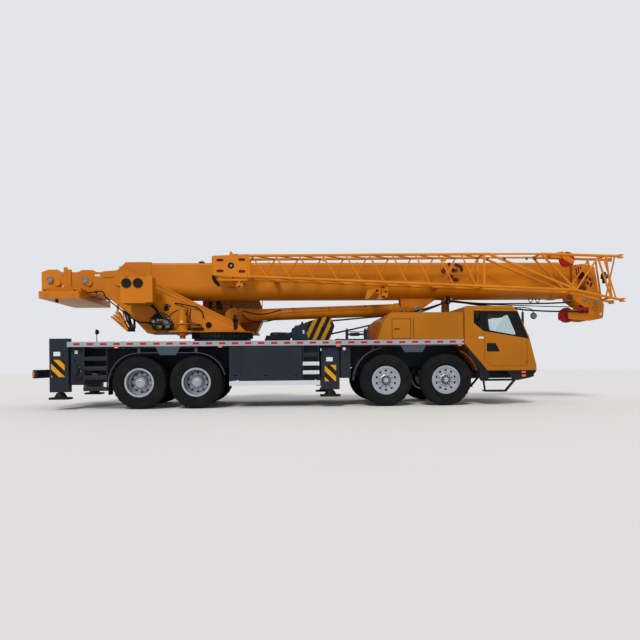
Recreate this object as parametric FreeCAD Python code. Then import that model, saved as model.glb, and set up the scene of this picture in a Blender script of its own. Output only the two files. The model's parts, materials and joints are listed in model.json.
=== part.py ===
import FreeCAD, Part
import math
import os

from FreeCAD import Vector

# A four-axle mobile crane with its boom down over the cab and its lattice jib stowed
# along the boom's right side. Sizes are millimetres. The origin is on the ground under
# the middle of the machine; +X is forward, +Y is to the left, +Z is up.

# Clearances
seat_gap = 0.3
moving_gap = 6.0

# Wheels, for axles counted from the front
tyre_radius = 600.0
tyre_half_width = 157.5
rim_half_width = 122.0
rim_flange_radius = 330.0
rim_seat_radius = 305.0
rim_wall = 17.0
twin_spacing = 355.0
wheel_centre_y = 1222.5
hand_hole_count = 10
hand_hole_circle = 225.0
hand_hole_half_width = 21.0
hand_hole_half_length = 30.0
drum_radius = 205.0
spindle_radius = 50.0
kingpin_y = 1000.0
kingpin_radius = 30.0
kingpin_boss_radius = 56.0
kingpin_boss_half_height = 75.0
knuckle_web = 28.0
axle_beam_half_height = 55.0
axle_beam_half_length = 48.0
axle_housing_radius = 92.0
axle_table = [
    # number, x, steered
    (1, 2527.0, True),
    (2, 1123.0, True),
    (3, -3235.0, False),
    (4, -4515.0, False),
]

spring_inner_y = 330.0
spring_outer_y = 415.0
spring_pad_top = 710.0
fender_inner_y = 1050.0
fender_outer_y = 1392.0
fender_radius = 668.0
front_fender_radius = 752.0
liner_radius = 745.0
liner_stay_x = 3140.0
liner_stay_z = 1038.0

# Carrier frame and deck
frame_half_width = 430.0
frame_rear_x = -6150.0
frame_front_x = 4480.0
frame_bottom = 900.0
frame_top = 1400.0
cab_floor_bottom = 805.0
subframe_bottom = 600.0
deck_rear_x = -6090.0
deck_front_x = 2945.0
deck_half_width = 1400.0
deck_top = 1535.0
deck_edge_height = 115.0
deck_plate = 20.0
deck_edge_thickness = 30.0
deck_rib_pitch = 1050.0
apron_slant = 112.0
apron_table = [
    # rear x, front x, bottom z of the plates hung under the deck's edge
    (-4145.0, -3563.0, 1222.0),
    (1440.0, 2070.0, 1246.0),
]
lamp_beam_x = -6830.0
lamp_beam_bottom = 720.0
lamp_beam_top = 910.0
side_box_rear_x = -2480.0
side_box_front_x = -820.0
side_box_bottom = 630.0
side_box_inner_y = 760.0
side_box_outer_y = 1385.0
ladder_rung = 22.0
small_locker_table = [
    # rear x, front x, inner y, outer y, bottom z
    (-6060.0, -5770.0, 800.0, 1250.0, 560.0),
    (75.0, 300.0, 850.0, 1300.0, 660.0),
]

# Outriggers: a cross box through the frame, two beams side by side, a jack on each end
outrigger_box_half_length = 220.0
outrigger_box_half_width = 1050.0
outrigger_box_wall = 16.0
outrigger_box_bottom = 800.0
outrigger_box_top = 1180.0
beam_width = 192.0
beam_height = 336.0
beam_plate = 14.0
beam_end_plate = 30.0
jack_half_length = 212.0
jack_depth = 200.0
jack_bottom = 400.0
jack_rod_radius = 62.0
float_bottom = 237.0
float_thickness = 45.0
float_half_length = 235.0
float_half_width = 190.0
float_boss_radius = 105.0
outrigger_table = [
    # name, x of the box's middle, top of the jack's casing
    ("front", -165.0, 1385.0),
    ("rear", -6310.0, 1615.0),
]

# Slewing ring and turntable
slew_x = -2770.0
ring_radius = 758.0
ring_bottom = 1640.0
ring_top = 1765.0
ring_base_radius = 700.0
ring_tooth_count = 48
ring_tooth_depth = 26.0
table_plate = 34.0
table_plate_bottom = 1771.0
table_side_inner = 440.0
table_side_thickness = 40.0
table_band_height = 150.0
table_band_thickness = 16.0
tail_rear_x = -7000.0
tail_top = 3240.0
winch_table = [
    # x, z, flange radius, drum radius
    (-6620.0, 2985.0, 262.0, 175.0),
    (-5885.0, 2985.0, 250.0, 165.0),
]
winch_half_width = 400.0
winch_shaft_radius = 62.0
counterweight_half_width = 1200.0
counterweight_rear_x = -6800.0
counterweight_front_x = -5863.0
counterweight_bottom = 2540.0
counterweight_height = 160.0

# Boom
boom_pivot_x = -5150.0
boom_pivot_z = 3050.0
boom_pin_radius = 70.0
boom_half_width = 330.0
boom_bottom = 2590.0
boom_top = 3490.0
boom_corner_radius = 60.0
boom_wall = 14.0
boom_step = 27.0
boom_rear_x = -4960.0
boom_front_x = 5700.0
boom_collar_length = 85.0
boom_collar_gap = 6.0
boom_section_count = 5
wear_pad_length = 120.0
boom_rest_x = 2810.0
boom_rest_length = 230.0

# Lift cylinder
cylinder_base_x = -2500.0
cylinder_base_z = 2210.0
rod_pin_x = 1890.0
rod_pin_z = 2357.0
barrel_radius = 150.0
barrel_bore_radius = 124.0
rod_radius = 102.0
cylinder_eye_half_width = 104.0
cylinder_pin_radius = 58.0
cylinder_lug_thickness = 40.0

# Driver's cab
cab_half_width = 1390.0
cab_wall = 45.0
cab_rear_x = 2960.0
cab_roof = 2310.0
door_gap = 6.0
door_hinge_x = 4440.0
door_rear_x = 3425.0
door_top = 2240.0
door_bottom = 912.0
belt_z = 1580.0
screen_low_x = 4490.0
screen_top_x = 4208.0
screen_top_z = 2200.0
screen_slope = (screen_low_x - screen_top_x) / (screen_top_z - belt_z)
screen_half_width = 1250.0
rear_window_half_width = 620.0
rear_window_heights = (1760.0, 2180.0)
handle_outline = [(3481.0, 1443.0), (3694.0, 1441.0), (3789.0, 1243.0), (3481.0, 1245.0)]
seat_rear_x = 3400.0
door_hinge_y = 1387.0
door_hinge_radius = 12.0
door_hinge_height = 40.0
door_hinge_heights = (980.0, 1420.0)

# Operator's cab on the turntable
upper_cab_rear_x = -3340.0
upper_cab_front_x = -1810.0
upper_cab_inner_y = 580.0
upper_cab_outer_y = 1370.0
upper_cab_bottom = table_plate_bottom + table_plate
upper_cab_top = 3380.0
upper_cab_wall = 40.0

# Engine cover behind the cab
hood_half_width = 1380.0
hood_rear_x = 930.0
hood_front_x = 2935.0
hood_top = 2168.0
hood_wall = 20.0
hood_vent_x = 1750.0
hood_vent_pitch = 110.0
hood_vent_width = 42.0
hood_vent_count = 7

# Hook block on the deck
hook_y = -450.0
hook_half_width = 150.0
hook_cheek = 34.0
hook_bottom = 1576.0

# Lattice jib beside the boom
jib_near_y = -1250.0
jib_far_y = -760.0
jib_chord_radius = 32.0
jib_leg_radius = 29.0
jib_post_radius = 26.0
jib_cross_radius = 23.0
jib_lace_radius = 17.0
jib_sheave_y = -1000.0
jib_sheave_x = 5584.0
jib_sheave_z = 3456.0
jib_sheave_radius = 181.0
jib_sheave_half_width = 36.0
jib_cheek = 14.0
jib_pin_radius = 28.0
jib_catch_table = [
    # outline of the plate under the jib, x and z of the arm that carries it
    ([(709.0, 2520.0), (782.0, 2761.0), (1267.0, 2832.0), (1267.0, 2591.0), (1073.0, 2519.0)],
     890.0, 2660.0),
    ([(-2850.0, 2970.0), (-2780.0, 2850.0), (-2290.0, 2838.0), (-2140.0, 2935.0),
      (-2180.0, 2970.0)], -2600.0, 2870.0),
]


def block(x0, x1, y0, y1, z0, z1):
    return Part.makeBox(x1 - x0, y1 - y0, z1 - z0, Vector(x0, y0, z0))


def outline_face(points, place):
    """A flat face from corners (a, b) or (a, b, corner radius)."""
    corners = [place(p[0], p[1]) for p in points]
    starts, middles, ends = [], [], []
    for i, corner in enumerate(corners):
        radius = points[i][2] if len(points[i]) > 2 else 0.0
        if radius <= 0.0:
            starts.append(corner)
            middles.append(None)
            ends.append(corner)
            continue
        before = (corners[i - 1] - corner).normalize()
        after = (corners[(i + 1) % len(corners)] - corner).normalize()
        half = before.getAngle(after) / 2.0
        middle = (before + after).normalize()
        reach = radius / math.tan(half)
        starts.append(corner + before * reach)
        middles.append(corner + middle * (radius / math.sin(half) - radius))
        ends.append(corner + after * reach)
    edges = []
    for i, middle in enumerate(middles):
        if middle is not None:
            edges.append(Part.Arc(starts[i], middle, ends[i]).toShape())
        following = starts[(i + 1) % len(corners)]
        if (following - ends[i]).Length > 1e-6:
            edges.append(Part.makeLine(ends[i], following))
    return Part.Face(Part.Wire(edges))


def side_plate(points, y0, y1):
    """A plate with an (x, z) outline, from y0 to y1."""
    face = outline_face(points, lambda x, z: Vector(x, y0, z))
    return face.extrude(Vector(0, y1 - y0, 0))


def cross_plate(points, x0, x1):
    """A plate with a (y, z) outline, from x0 to x1."""
    face = outline_face(points, lambda y, z: Vector(x0, y, z))
    return face.extrude(Vector(x1 - x0, 0, 0))


def floor_plate(points, z0, z1):
    """A plate with an (x, y) outline, from z0 to z1."""
    face = outline_face(points, lambda x, y: Vector(x, y, z0))
    return face.extrude(Vector(0, 0, z1 - z0))


def shaft_y(x, z, radius, y0, y1):
    return Part.makeCylinder(radius, y1 - y0, Vector(x, y0, z), Vector(0, 1, 0))


def shaft_z(x, y, radius, z0, z1):
    return Part.makeCylinder(radius, z1 - z0, Vector(x, y, z0))


def bar(start, end, radius):
    run = Vector(*end) - Vector(*start)
    return Part.makeCylinder(radius, run.Length, Vector(*start), run)


def turned_y(profile, x, z, side=1):
    """A solid turned about the line along Y at (x, z), from (y, radius) points."""
    points = [Vector(x, side * y, z + r) for y, r in profile]
    face = Part.Face(Part.makePolygon(points + points[:1]))
    return face.revolve(Vector(x, 0, z), Vector(0, 1, 0), 360)


def turned_z(profile, x, y):
    """A solid turned about the upright line at (x, y), from (radius, z) points."""
    points = [Vector(x + r, y, z) for r, z in profile]
    face = Part.Face(Part.makePolygon(points + points[:1]))
    return face.revolve(Vector(x, y, 0), Vector(0, 0, 1), 360)


def mirrored(shape):
    return shape.mirror(Vector(0, 0, 0), Vector(0, 1, 0))


def joined(shapes):
    whole = shapes[0].fuse(shapes[1:]) if len(shapes) > 1 else shapes[0]
    return whole.removeSplitter()


def save(name, shape):
    solids = shape.Solids
    whole = solids[0] if len(solids) == 1 else Part.makeCompound(solids)
    whole.exportStep("parts/" + name + ".step")
    print(name, len(solids), round(sum(s.Volume for s in solids) / 1e9, 4), "m3")


# Wheels

def tyre(x, centre_y, side):
    bead = rim_half_width - 14.5
    half = [
        (bead, rim_seat_radius + seat_gap),
        (bead, rim_flange_radius + 8.0),
        (tyre_half_width - 18.0, rim_flange_radius + 24.0),
        (tyre_half_width, tyre_radius - 165.0),
        (tyre_half_width - 12.0, tyre_radius - 40.0),
        (tyre_half_width - 42.0, tyre_radius),
    ]
    profile = [(centre_y + y, r) for y, r in half]
    profile += [(centre_y - y, r) for y, r in reversed(half)]
    return turned_y(profile, x, tyre_radius, side)


def rim_barrel(x, centre_y, side):
    lip = rim_half_width - 14.0
    profile = [
        (centre_y - rim_half_width, rim_flange_radius),
        (centre_y - lip, rim_flange_radius),
        (centre_y - lip, rim_seat_radius),
        (centre_y + lip, rim_seat_radius),
        (centre_y + lip, rim_flange_radius),
        (centre_y + rim_half_width, rim_flange_radius),
        (centre_y + rim_half_width, rim_seat_radius - rim_wall),
        (centre_y - rim_half_width, rim_seat_radius - rim_wall),
    ]
    return turned_y(profile, x, tyre_radius, side)


def hand_holes(x, side, y0, y1):
    """Long eight-sided holes round a wheel's disc."""
    cuts = []
    for i in range(hand_hole_count):
        turn = 2.0 * math.pi * i / hand_hole_count
        outward = Vector(math.sin(turn), 0, math.cos(turn))
        along = Vector(math.cos(turn), 0, -math.sin(turn))
        middle = Vector(x, side * y0, tyre_radius) + outward * hand_hole_circle
        points = []
        for k in range(8):
            part = math.pi * (2 * k + 1) / 8.0
            points.append(middle + outward * (hand_hole_half_width * math.cos(part))
                          + along * (hand_hole_half_length * math.sin(part)))
        face = Part.Face(Part.makePolygon(points + points[:1]))
        cuts.append(face.extrude(Vector(0, side * (y1 - y0), 0)))
    return cuts


def single_rim(x, side):
    """A front wheel's rim: its disc stands near the outer edge, over the brake drum."""
    hub = 112.0
    disc = wheel_centre_y + 52.0
    disc_plate = 14.0
    inner = kingpin_y + kingpin_boss_radius + 2.0 * moving_gap + 4.0 + knuckle_web
    body = [
        (inner, 0.0),
        (inner, drum_radius),
        (inner + 95.0, drum_radius),
        (inner + 110.0, hub),
        (disc, hub + 20.0),
        (disc + 18.0, rim_seat_radius - rim_wall + 4.0),
        (disc + 18.0 + disc_plate, rim_seat_radius - rim_wall + 4.0),
        (disc + disc_plate, hub + 24.0),
        (disc + disc_plate + 8.0, hub),
        (wheel_centre_y + 112.0, hub - 14.0),
        (wheel_centre_y + 125.0, hub - 50.0),
        (wheel_centre_y + 125.0, 0.0),
    ]
    rim = joined([rim_barrel(x, wheel_centre_y, side), turned_y(body, x, tyre_radius, side)])
    bore = turned_y([(inner - 1.0, 0.0), (inner - 1.0, spindle_radius + seat_gap),
                     (disc - 10.0, spindle_radius + seat_gap), (disc - 10.0, 0.0)],
                    x, tyre_radius, side)
    return rim.cut([bore] + hand_holes(x, side, disc - 30.0, disc + 60.0))


def twin_rim(x, side):
    """A rear wheel pair's rims: deep dished discs back to back on one hub."""
    middle = wheel_centre_y - twin_spacing / 2.0
    inner = middle - 330.0
    barrel = rim_seat_radius - rim_wall + 4.0
    plate = 13.0
    hub = 150.0
    core = [
        (inner, 0.0), (inner, drum_radius), (middle - 60.0, drum_radius),
        (middle - plate, hub), (middle + plate, hub), (middle + 130.0, hub - 8.0),
        (middle + 150.0, hub - 30.0), (middle + 185.0, hub - 40.0), (middle + 185.0, 0.0),
    ]
    dish = []
    for way in (1.0, -1.0):
        dish.append(turned_y([
            (middle, hub - 10.0), (middle, hub + 75.0), (middle + way * 62.0, barrel + 4.0),
            (middle + way * 84.0, barrel + 4.0), (middle + way * plate, hub + 65.0),
            (middle + way * plate, hub - 10.0),
        ], x, tyre_radius, side))
    rim = joined([
        turned_y(core, x, tyre_radius, side),
        rim_barrel(x, wheel_centre_y, side),
        rim_barrel(x, wheel_centre_y - twin_spacing, side),
    ] + dish)
    bore = turned_y([(inner - 1.0, 0.0), (inner - 1.0, spindle_radius + seat_gap),
                     (middle, spindle_radius + seat_gap), (middle, 0.0)],
                    x, tyre_radius, side)
    return rim.cut([bore] + hand_holes(x, side, middle - 60.0, middle + 60.0))


def knuckle(x, side):
    """A steering knuckle: a fork round the axle's end with its kingpin and spindle."""
    arm = 26.0
    boss = kingpin_boss_half_height
    web_y = kingpin_y + kingpin_boss_radius + moving_gap + 4.0
    web_plate = knuckle_web
    web = block(x - 80.0, x + 80.0, web_y, web_y + web_plate,
                tyre_radius - boss - moving_gap - arm, tyre_radius + boss + moving_gap + arm)
    parts = [web]
    for way in (-1.0, 1.0):
        z = tyre_radius + way * (boss + moving_gap + arm / 2.0) - arm / 2.0
        parts.append(shaft_z(x, kingpin_y, kingpin_boss_radius, z, z + arm))
        parts.append(block(x - kingpin_boss_radius, x + kingpin_boss_radius, kingpin_y, web_y + 2.0,
                           z, z + arm))
    parts.append(shaft_z(x, kingpin_y, kingpin_radius, tyre_radius - boss - moving_gap - arm,
                         tyre_radius + boss + moving_gap + arm))
    parts.append(shaft_y(x, tyre_radius, spindle_radius, web_y + web_plate - 2.0,
                         wheel_centre_y + 35.0))
    whole = joined(parts)
    return whole if side > 0 else mirrored(whole)


# Axles and springs

def steered_axle(x):
    boss = kingpin_boss_half_height
    beam = cross_plate([
        (-kingpin_y, tyre_radius - 40.0), (-620.0, tyre_radius - 40.0),
        (-520.0, tyre_radius - 90.0), (520.0, tyre_radius - 90.0),
        (620.0, tyre_radius - 40.0), (kingpin_y, tyre_radius - 40.0),
        (kingpin_y, tyre_radius + 40.0), (600.0, tyre_radius + 40.0),
        (500.0, tyre_radius + 30.0), (-500.0, tyre_radius + 30.0),
        (-600.0, tyre_radius + 40.0), (-kingpin_y, tyre_radius + 40.0),
    ], x - axle_beam_half_length, x + axle_beam_half_length)
    parts = [beam]
    pins = []
    for side in (-1.0, 1.0):
        y = side * kingpin_y
        parts.append(shaft_z(x, y, kingpin_boss_radius, tyre_radius - boss, tyre_radius + boss))
        pins.append(shaft_z(x, y, kingpin_radius + seat_gap, tyre_radius - boss - 1.0,
                            tyre_radius + boss + 1.0))
        outer = side * (kingpin_y + kingpin_boss_radius + 2.0)
        pins.append(block(x - 70.0, x + 70.0, min(outer, outer + side * 90.0),
                          max(outer, outer + side * 90.0), tyre_radius - 90.0, tyre_radius + 90.0))
    return joined(parts).cut(pins)


def drive_axle(x):
    middle = wheel_centre_y - twin_spacing / 2.0
    end = middle - 330.0 - moving_gap
    housing = turned_y([
        (-end, 0.0), (-end, 150.0), (-end + 30.0, 150.0), (-end + 50.0, axle_housing_radius),
        (-250.0, axle_housing_radius), (-120.0, 215.0), (120.0, 215.0),
        (250.0, axle_housing_radius), (end - 50.0, axle_housing_radius), (end - 30.0, 150.0),
        (end, 150.0), (end, 0.0),
    ], x, tyre_radius)
    parts = [housing]
    for side in (-1.0, 1.0):
        tip = side * (middle - 8.0)
        parts.append(shaft_y(x, tyre_radius, spindle_radius, min(0.0, tip), max(0.0, tip)))
        pad_low, pad_high = sorted((side * spring_inner_y, side * spring_outer_y))
        parts.append(block(x - 90.0, x + 90.0, pad_low, pad_high, tyre_radius, spring_pad_top))
    return joined(parts)


def leaf_pack(x, span, base_z, count, rise):
    """Stacked leaves, longest on top, that curve up to a hanger at each end."""
    leaf = 22.0
    half = span / 2.0
    outline = [(x - half, base_z + rise), (x - half, base_z + rise + leaf)]
    outline += [(x - half * 0.5, base_z + rise * 0.3 + leaf * count),
                (x + half * 0.5, base_z + rise * 0.3 + leaf * count),
                (x + half, base_z + rise + leaf), (x + half, base_z + rise)]
    for i in range(count - 1):
        reach = half * (1.0 - (i + 1.0) / count)
        outline.append((x + reach + 40.0, base_z + rise * (reach / half) ** 2 + 6.0))
    outline += [(x + 90.0, base_z), (x - 90.0, base_z)]
    for i in reversed(range(count - 1)):
        reach = half * (1.0 - (i + 1.0) / count)
        outline.append((x - reach - 40.0, base_z + rise * (reach / half) ** 2 + 6.0))
    return outline


def steered_spring(x, side):
    base_z = tyre_radius + 30.0
    span, rise, count = 1040.0, 70.0, 3
    low, high = sorted((side * spring_inner_y, side * spring_outer_y))
    parts = [side_plate(leaf_pack(x, span, base_z, count, rise), low, high)]
    for end in (-1.0, 1.0):
        hanger_x = x + end * (span / 2.0 - 20.0)
        parts.append(side_plate([
            (hanger_x - 45.0, base_z + rise + 10.0), (hanger_x + 45.0, base_z + rise + 10.0),
            (hanger_x + 75.0, frame_bottom), (hanger_x - 75.0, frame_bottom),
        ], low, high))
    return joined(parts)


def bogie_spring(side):
    """The rear pair's shared leaves, rocking on a trunnion under the frame."""
    rear_x, front_x = axle_table[3][1], axle_table[2][1]
    middle_x = (rear_x + front_x) / 2.0
    low, high = sorted((side * spring_inner_y, side * spring_outer_y))
    leaves = side_plate([
        (rear_x - 80.0, spring_pad_top), (rear_x + 120.0, spring_pad_top),
        (middle_x - 240.0, spring_pad_top + 20.0), (middle_x + 240.0, spring_pad_top + 20.0),
        (front_x - 120.0, spring_pad_top), (front_x + 80.0, spring_pad_top),
        (front_x + 80.0, spring_pad_top + 24.0), (middle_x + 180.0, spring_pad_top + 135.0),
        (middle_x - 180.0, spring_pad_top + 135.0), (rear_x - 80.0, spring_pad_top + 24.0),
    ], low, high)
    trunnion = side_plate([
        (middle_x - 110.0, spring_pad_top + 125.0), (middle_x + 110.0, spring_pad_top + 125.0),
        (middle_x + 260.0, frame_bottom), (middle_x - 260.0, frame_bottom),
    ], low, high)
    return joined([leaves, trunnion])


# Carrier

def outrigger_box(x):
    return block(x - outrigger_box_half_length, x + outrigger_box_half_length,
                 -outrigger_box_half_width, outrigger_box_half_width,
                 outrigger_box_bottom, outrigger_box_top)


def outrigger_cavity(x):
    inner = outrigger_box_half_length - outrigger_box_wall
    return block(x - inner, x + inner, -outrigger_box_half_width - 1.0,
                 outrigger_box_half_width + 1.0, outrigger_box_bottom + outrigger_box_wall,
                 outrigger_box_top - outrigger_box_wall)


def chassis_frame():
    rails = side_plate([
        (frame_rear_x, frame_bottom), (frame_rear_x, frame_top), (deck_front_x - 45.0, frame_top),
        (3410.0, cab_floor_bottom), (frame_front_x, cab_floor_bottom),
        (frame_front_x, subframe_bottom), (3330.0, subframe_bottom), (3110.0, frame_bottom),
    ], -frame_half_width, frame_half_width)
    parts = [rails]
    cuts = []
    for x in [row[1] for row in outrigger_table]:
        parts.append(outrigger_box(x))
        cuts.append(outrigger_cavity(x))
    rear_x = outrigger_table[1][1]
    parts.append(block(rear_x - outrigger_box_half_length, frame_rear_x + 10.0,
                       -frame_half_width, frame_half_width, outrigger_box_top - 10.0, frame_top))
    parts.append(shaft_z(slew_x, 0.0, ring_base_radius, frame_top - 20.0, ring_bottom))
    for side in (-1.0, 1.0):
        y0, y1 = sorted((side * 250.0, side * 310.0))
        parts.append(block(lamp_beam_x, rear_x, y0, y1, lamp_beam_top - 110.0, lamp_beam_top - 20.0))
    parts.append(block(lamp_beam_x - 40.0, lamp_beam_x + 40.0, -1330.0, 1330.0, lamp_beam_bottom,
                       lamp_beam_top))
    return joined(parts).cut(cuts)


def deck():
    plate = block(deck_rear_x, deck_front_x, -deck_half_width, deck_half_width,
                  deck_top - deck_plate, deck_top)
    parts = [plate]
    low = deck_top - deck_edge_height
    for side in (-1.0, 1.0):
        y0, y1 = sorted((side * deck_half_width, side * (deck_half_width - deck_edge_thickness)))
        parts.append(block(deck_rear_x, deck_front_x, y0, y1, low, deck_top))
    for x in (deck_rear_x, deck_front_x - deck_edge_thickness):
        parts.append(block(x, x + deck_edge_thickness, -deck_half_width, deck_half_width,
                           low, deck_top))
    count = int((deck_front_x - deck_rear_x) // deck_rib_pitch)
    for i in range(1, count + 1):
        x = deck_rear_x + i * (deck_front_x - deck_rear_x) / (count + 1)
        parts.append(block(x - 30.0, x + 30.0, -deck_half_width + 5.0, deck_half_width - 5.0,
                           low, deck_top - 5.0))
        parts.append(block(x - 30.0, x + 30.0, -frame_half_width, frame_half_width,
                           frame_top, low + 5.0))
    for side in (-1.0, 1.0):
        y0, y1 = sorted((side * 300.0, side * 340.0))
        parts.append(block(deck_rear_x + 10.0, deck_front_x - 10.0, y0, y1, frame_top,
                           deck_top - 5.0))
    for side in (-1.0, 1.0):
        y0, y1 = sorted((side * (fender_outer_y + seat_gap), side * deck_half_width))
        for rear_x, front_x, bottom_z in apron_table:
            parts.append(side_plate([
                (rear_x, low + 5.0), (front_x, low + 5.0), (front_x - apron_slant, bottom_z),
                (rear_x + apron_slant, bottom_z),
            ], y0, y1))
    whole = joined(parts)
    whole = whole.cut(shaft_z(slew_x, 0.0, ring_base_radius + 1.0, frame_top - 5.0, deck_top + 5.0))
    cradle = block(-1040.0, -60.0, hook_y - 170.0, hook_y + 170.0, deck_top,
                   hook_bottom - seat_gap)
    boards = []
    for i in range(2):
        boards.append(block(-1680.0 + 25.0 * i, -1080.0 + 15.0 * i, -1020.0, -620.0,
                            deck_top + 65.0 * i, deck_top + 66.0 * (i + 1)))
    return Part.makeCompound([whole, rest_post(), cradle, joined(boards)])


def rest_post():
    """The post behind the cab that the lowered boom lies on."""
    x0, x1 = boom_rest_x + 10.0, deck_front_x - 15.0
    top = boom_bottom - 24.0 - seat_gap
    legs = []
    for side in (-1.0, 1.0):
        legs.append(cross_plate([
            (side * 330.0, deck_top), (side * 260.0, deck_top),
            (side * 60.0, top - 30.0), (side * 160.0, top - 30.0),
        ], x0, x1))
    pad = block(x0 - 10.0, x1 + 5.0, -190.0, 190.0, top - 40.0, top)
    tie = block(x0, x1, -270.0, 270.0, hood_top - 60.0, hood_top - 10.0)
    return joined(legs + [pad, tie])


def slewing_ring():
    """The fixed ring with its outside teeth."""
    points = []
    root = ring_radius - ring_tooth_depth
    for i in range(ring_tooth_count):
        for share, radius in ((-0.36, root), (-0.14, ring_radius), (0.14, ring_radius),
                              (0.36, root)):
            turn = 2.0 * math.pi * (i + share) / ring_tooth_count
            points.append((slew_x + radius * math.cos(turn), radius * math.sin(turn)))
    ring = floor_plate(points, ring_bottom, ring_top)
    return ring.cut(shaft_z(slew_x, 0.0, 560.0, ring_bottom - 1.0, ring_top + 1.0))


def arc_points(x, z, radius, first, last, count):
    """Points on an arc, angles in degrees from straight up, positive towards the rear."""
    points = []
    for i in range(count + 1):
        turn = math.radians(first + (last - first) * i / count)
        points.append((x - radius * math.sin(turn), z + radius * math.cos(turn)))
    return points


def fenders():
    shapes = []
    front_x, rear_x = axle_table[1][1], axle_table[3][1]
    plate = 14.0
    for side in (-1.0, 1.0):
        rear = arc_points(rear_x, tyre_radius, fender_radius, 88.0, 0.0, 7)
        rear_top = axle_table[2][1]
        rear += arc_points(rear_top, tyre_radius, fender_radius, 0.0, -76.0, 6)
        back = arc_points(rear_top, tyre_radius, fender_radius + plate, -76.0, 0.0, 6)
        back += arc_points(rear_x, tyre_radius, fender_radius + plate, 0.0, 88.0, 7)
        y0, y1 = sorted((side * fender_inner_y, side * fender_outer_y))
        arch = side_plate(rear + back, y0, y1)
        posts = []
        tall = deck_top - deck_plate
        for x in (rear_x, rear_top):
            posts.append(block(x - 30.0, x + 30.0, y0 + 60.0, y1 - 60.0,
                               tyre_radius + fender_radius, deck_top - deck_edge_height))
            posts.append(block(x - 22.0, x + 22.0, y0 + 120.0, y1 - 120.0,
                               tyre_radius + fender_radius, tall))
        shapes.append(joined([arch] + posts))
        front = arc_points(front_x, tyre_radius, front_fender_radius, 89.0, 8.0, 7)
        front += arc_points(front_x, tyre_radius, front_fender_radius + plate, 8.0, 89.0, 7)
        arch = side_plate(front, y0, y1)
        post_x = front_x - 300.0
        post = block(post_x - 22.0, post_x + 22.0, y0 + 120.0, y1 - 120.0,
                     tyre_radius + front_fender_radius * 0.9, tall)
        shapes.append(joined([arch, post]))
        lead_x = axle_table[0][1]
        liner = arc_points(lead_x, tyre_radius, liner_radius, -28.0, -84.0, 6)
        liner += arc_points(lead_x, tyre_radius, liner_radius + 12.0, -84.0, -28.0, 6)
        stay = bar((liner_stay_x, side * frame_half_width, liner_stay_z),
                   (liner_stay_x, side * (fender_inner_y + 20.0), liner_stay_z), 15.0)
        shapes.append(joined([side_plate(liner, min(y0, y1) + 10.0, max(y0, y1) - 10.0), stay]))
    return shapes


def side_equipment():
    """Lockers between the axles with a guard rail below them, and the ladders."""
    shapes = []
    low = deck_top - deck_edge_height
    step_x0, step_x1 = -800.0, -430.0
    for side in (-1.0, 1.0):
        y0, y1 = sorted((side * side_box_inner_y, side * side_box_outer_y))
        locker = block(side_box_rear_x, side_box_front_x, y0, y1, side_box_bottom, low)
        guard_y0, guard_y1 = sorted((side * (side_box_outer_y - 60.0), side * side_box_outer_y))
        guard = block(side_box_rear_x, -410.0, guard_y0, guard_y1, 510.0, 615.0)
        inset_y0, inset_y1 = sorted((side * side_box_inner_y, side * (side_box_outer_y - 150.0)))
        recess = block(side_box_front_x - 5.0, step_x1, inset_y0, inset_y1, side_box_bottom, low)
        stays = [block(x, x + 40.0, guard_y0 + 15.0, guard_y1 - 15.0, 600.0,
                       side_box_bottom + 5.0) for x in (-2380.0, -940.0)]
        ladder = []
        for x in (step_x0, step_x1 - ladder_rung):
            ladder.append(block(x, x + ladder_rung, guard_y0, guard_y1 - 10.0, 600.0, low))
        tread_y0, tread_y1 = sorted((side * (side_box_outer_y - 120.0), side * side_box_outer_y))
        for z in (760.0, 960.0, 1160.0):
            ladder.append(block(step_x0, step_x1, tread_y0, tread_y1, z, z + 30.0))
        shapes.append(joined([locker, guard, recess] + stays + ladder))
        for x0, x1, inner, outer, bottom in small_locker_table:
            y0, y1 = sorted((side * inner, side * outer))
            shapes.append(block(x0, x1, y0, y1, bottom, deck_top - deck_plate))
        rail_y0, rail_y1 = sorted((side * (side_box_outer_y - 45.0), side * (side_box_outer_y - 10.0)))
        rear = []
        for x in (-5740.0, -5230.0):
            rear.append(block(x, x + ladder_rung, rail_y0, rail_y1, 430.0, low))
        for z in (440.0, 690.0, 890.0, 1110.0):
            rear.append(block(-5740.0, -5208.0, rail_y0 - 10.0, rail_y1 + 5.0, z, z + 28.0))
        shapes.append(joined(rear))
    return shapes


def engine_hood():
    """The engine cover: an open-bottomed shell with a rounded, leaning rear end."""
    outer = [
        (hood_rear_x, deck_top), (hood_rear_x + 130.0, 1930.0, 200.0),
        (hood_rear_x + 300.0, hood_top, 90.0), (hood_front_x, hood_top, 40.0),
        (hood_front_x, deck_top),
    ]
    inner = [
        (hood_rear_x + hood_wall, deck_top - 5.0), (hood_rear_x + 128.0 + hood_wall, 1925.0, 190.0),
        (hood_rear_x + 305.0, hood_top - hood_wall, 70.0),
        (hood_front_x - hood_wall, hood_top - hood_wall, 20.0),
        (hood_front_x - hood_wall, deck_top - 5.0),
    ]
    notch_x, notch_y = boom_rest_x - 30.0, 355.0
    notch = block(notch_x, hood_front_x + 5.0, -notch_y, notch_y, deck_top - 10.0, hood_top + 5.0)
    notch_wall = block(notch_x - hood_wall, hood_front_x + 5.0, -notch_y - hood_wall,
                       notch_y + hood_wall, deck_top - 10.0, hood_top + 5.0)
    shell = side_plate(outer, -hood_half_width, hood_half_width).cut(notch)
    hollow = side_plate(inner, -hood_half_width + hood_wall, hood_half_width - hood_wall)
    shell = shell.cut(hollow.cut(notch_wall))
    vents = []
    for side in (-1.0, 1.0):
        y0, y1 = sorted((side * 480.0, side * 960.0))
        for i in range(hood_vent_count):
            x = hood_vent_x + i * hood_vent_pitch
            vents.append(block(x, x + hood_vent_width, y0, y1, hood_top - hood_wall - 5.0,
                               hood_top + 5.0))
    return shell.cut(vents)


# Driver's cab

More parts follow.
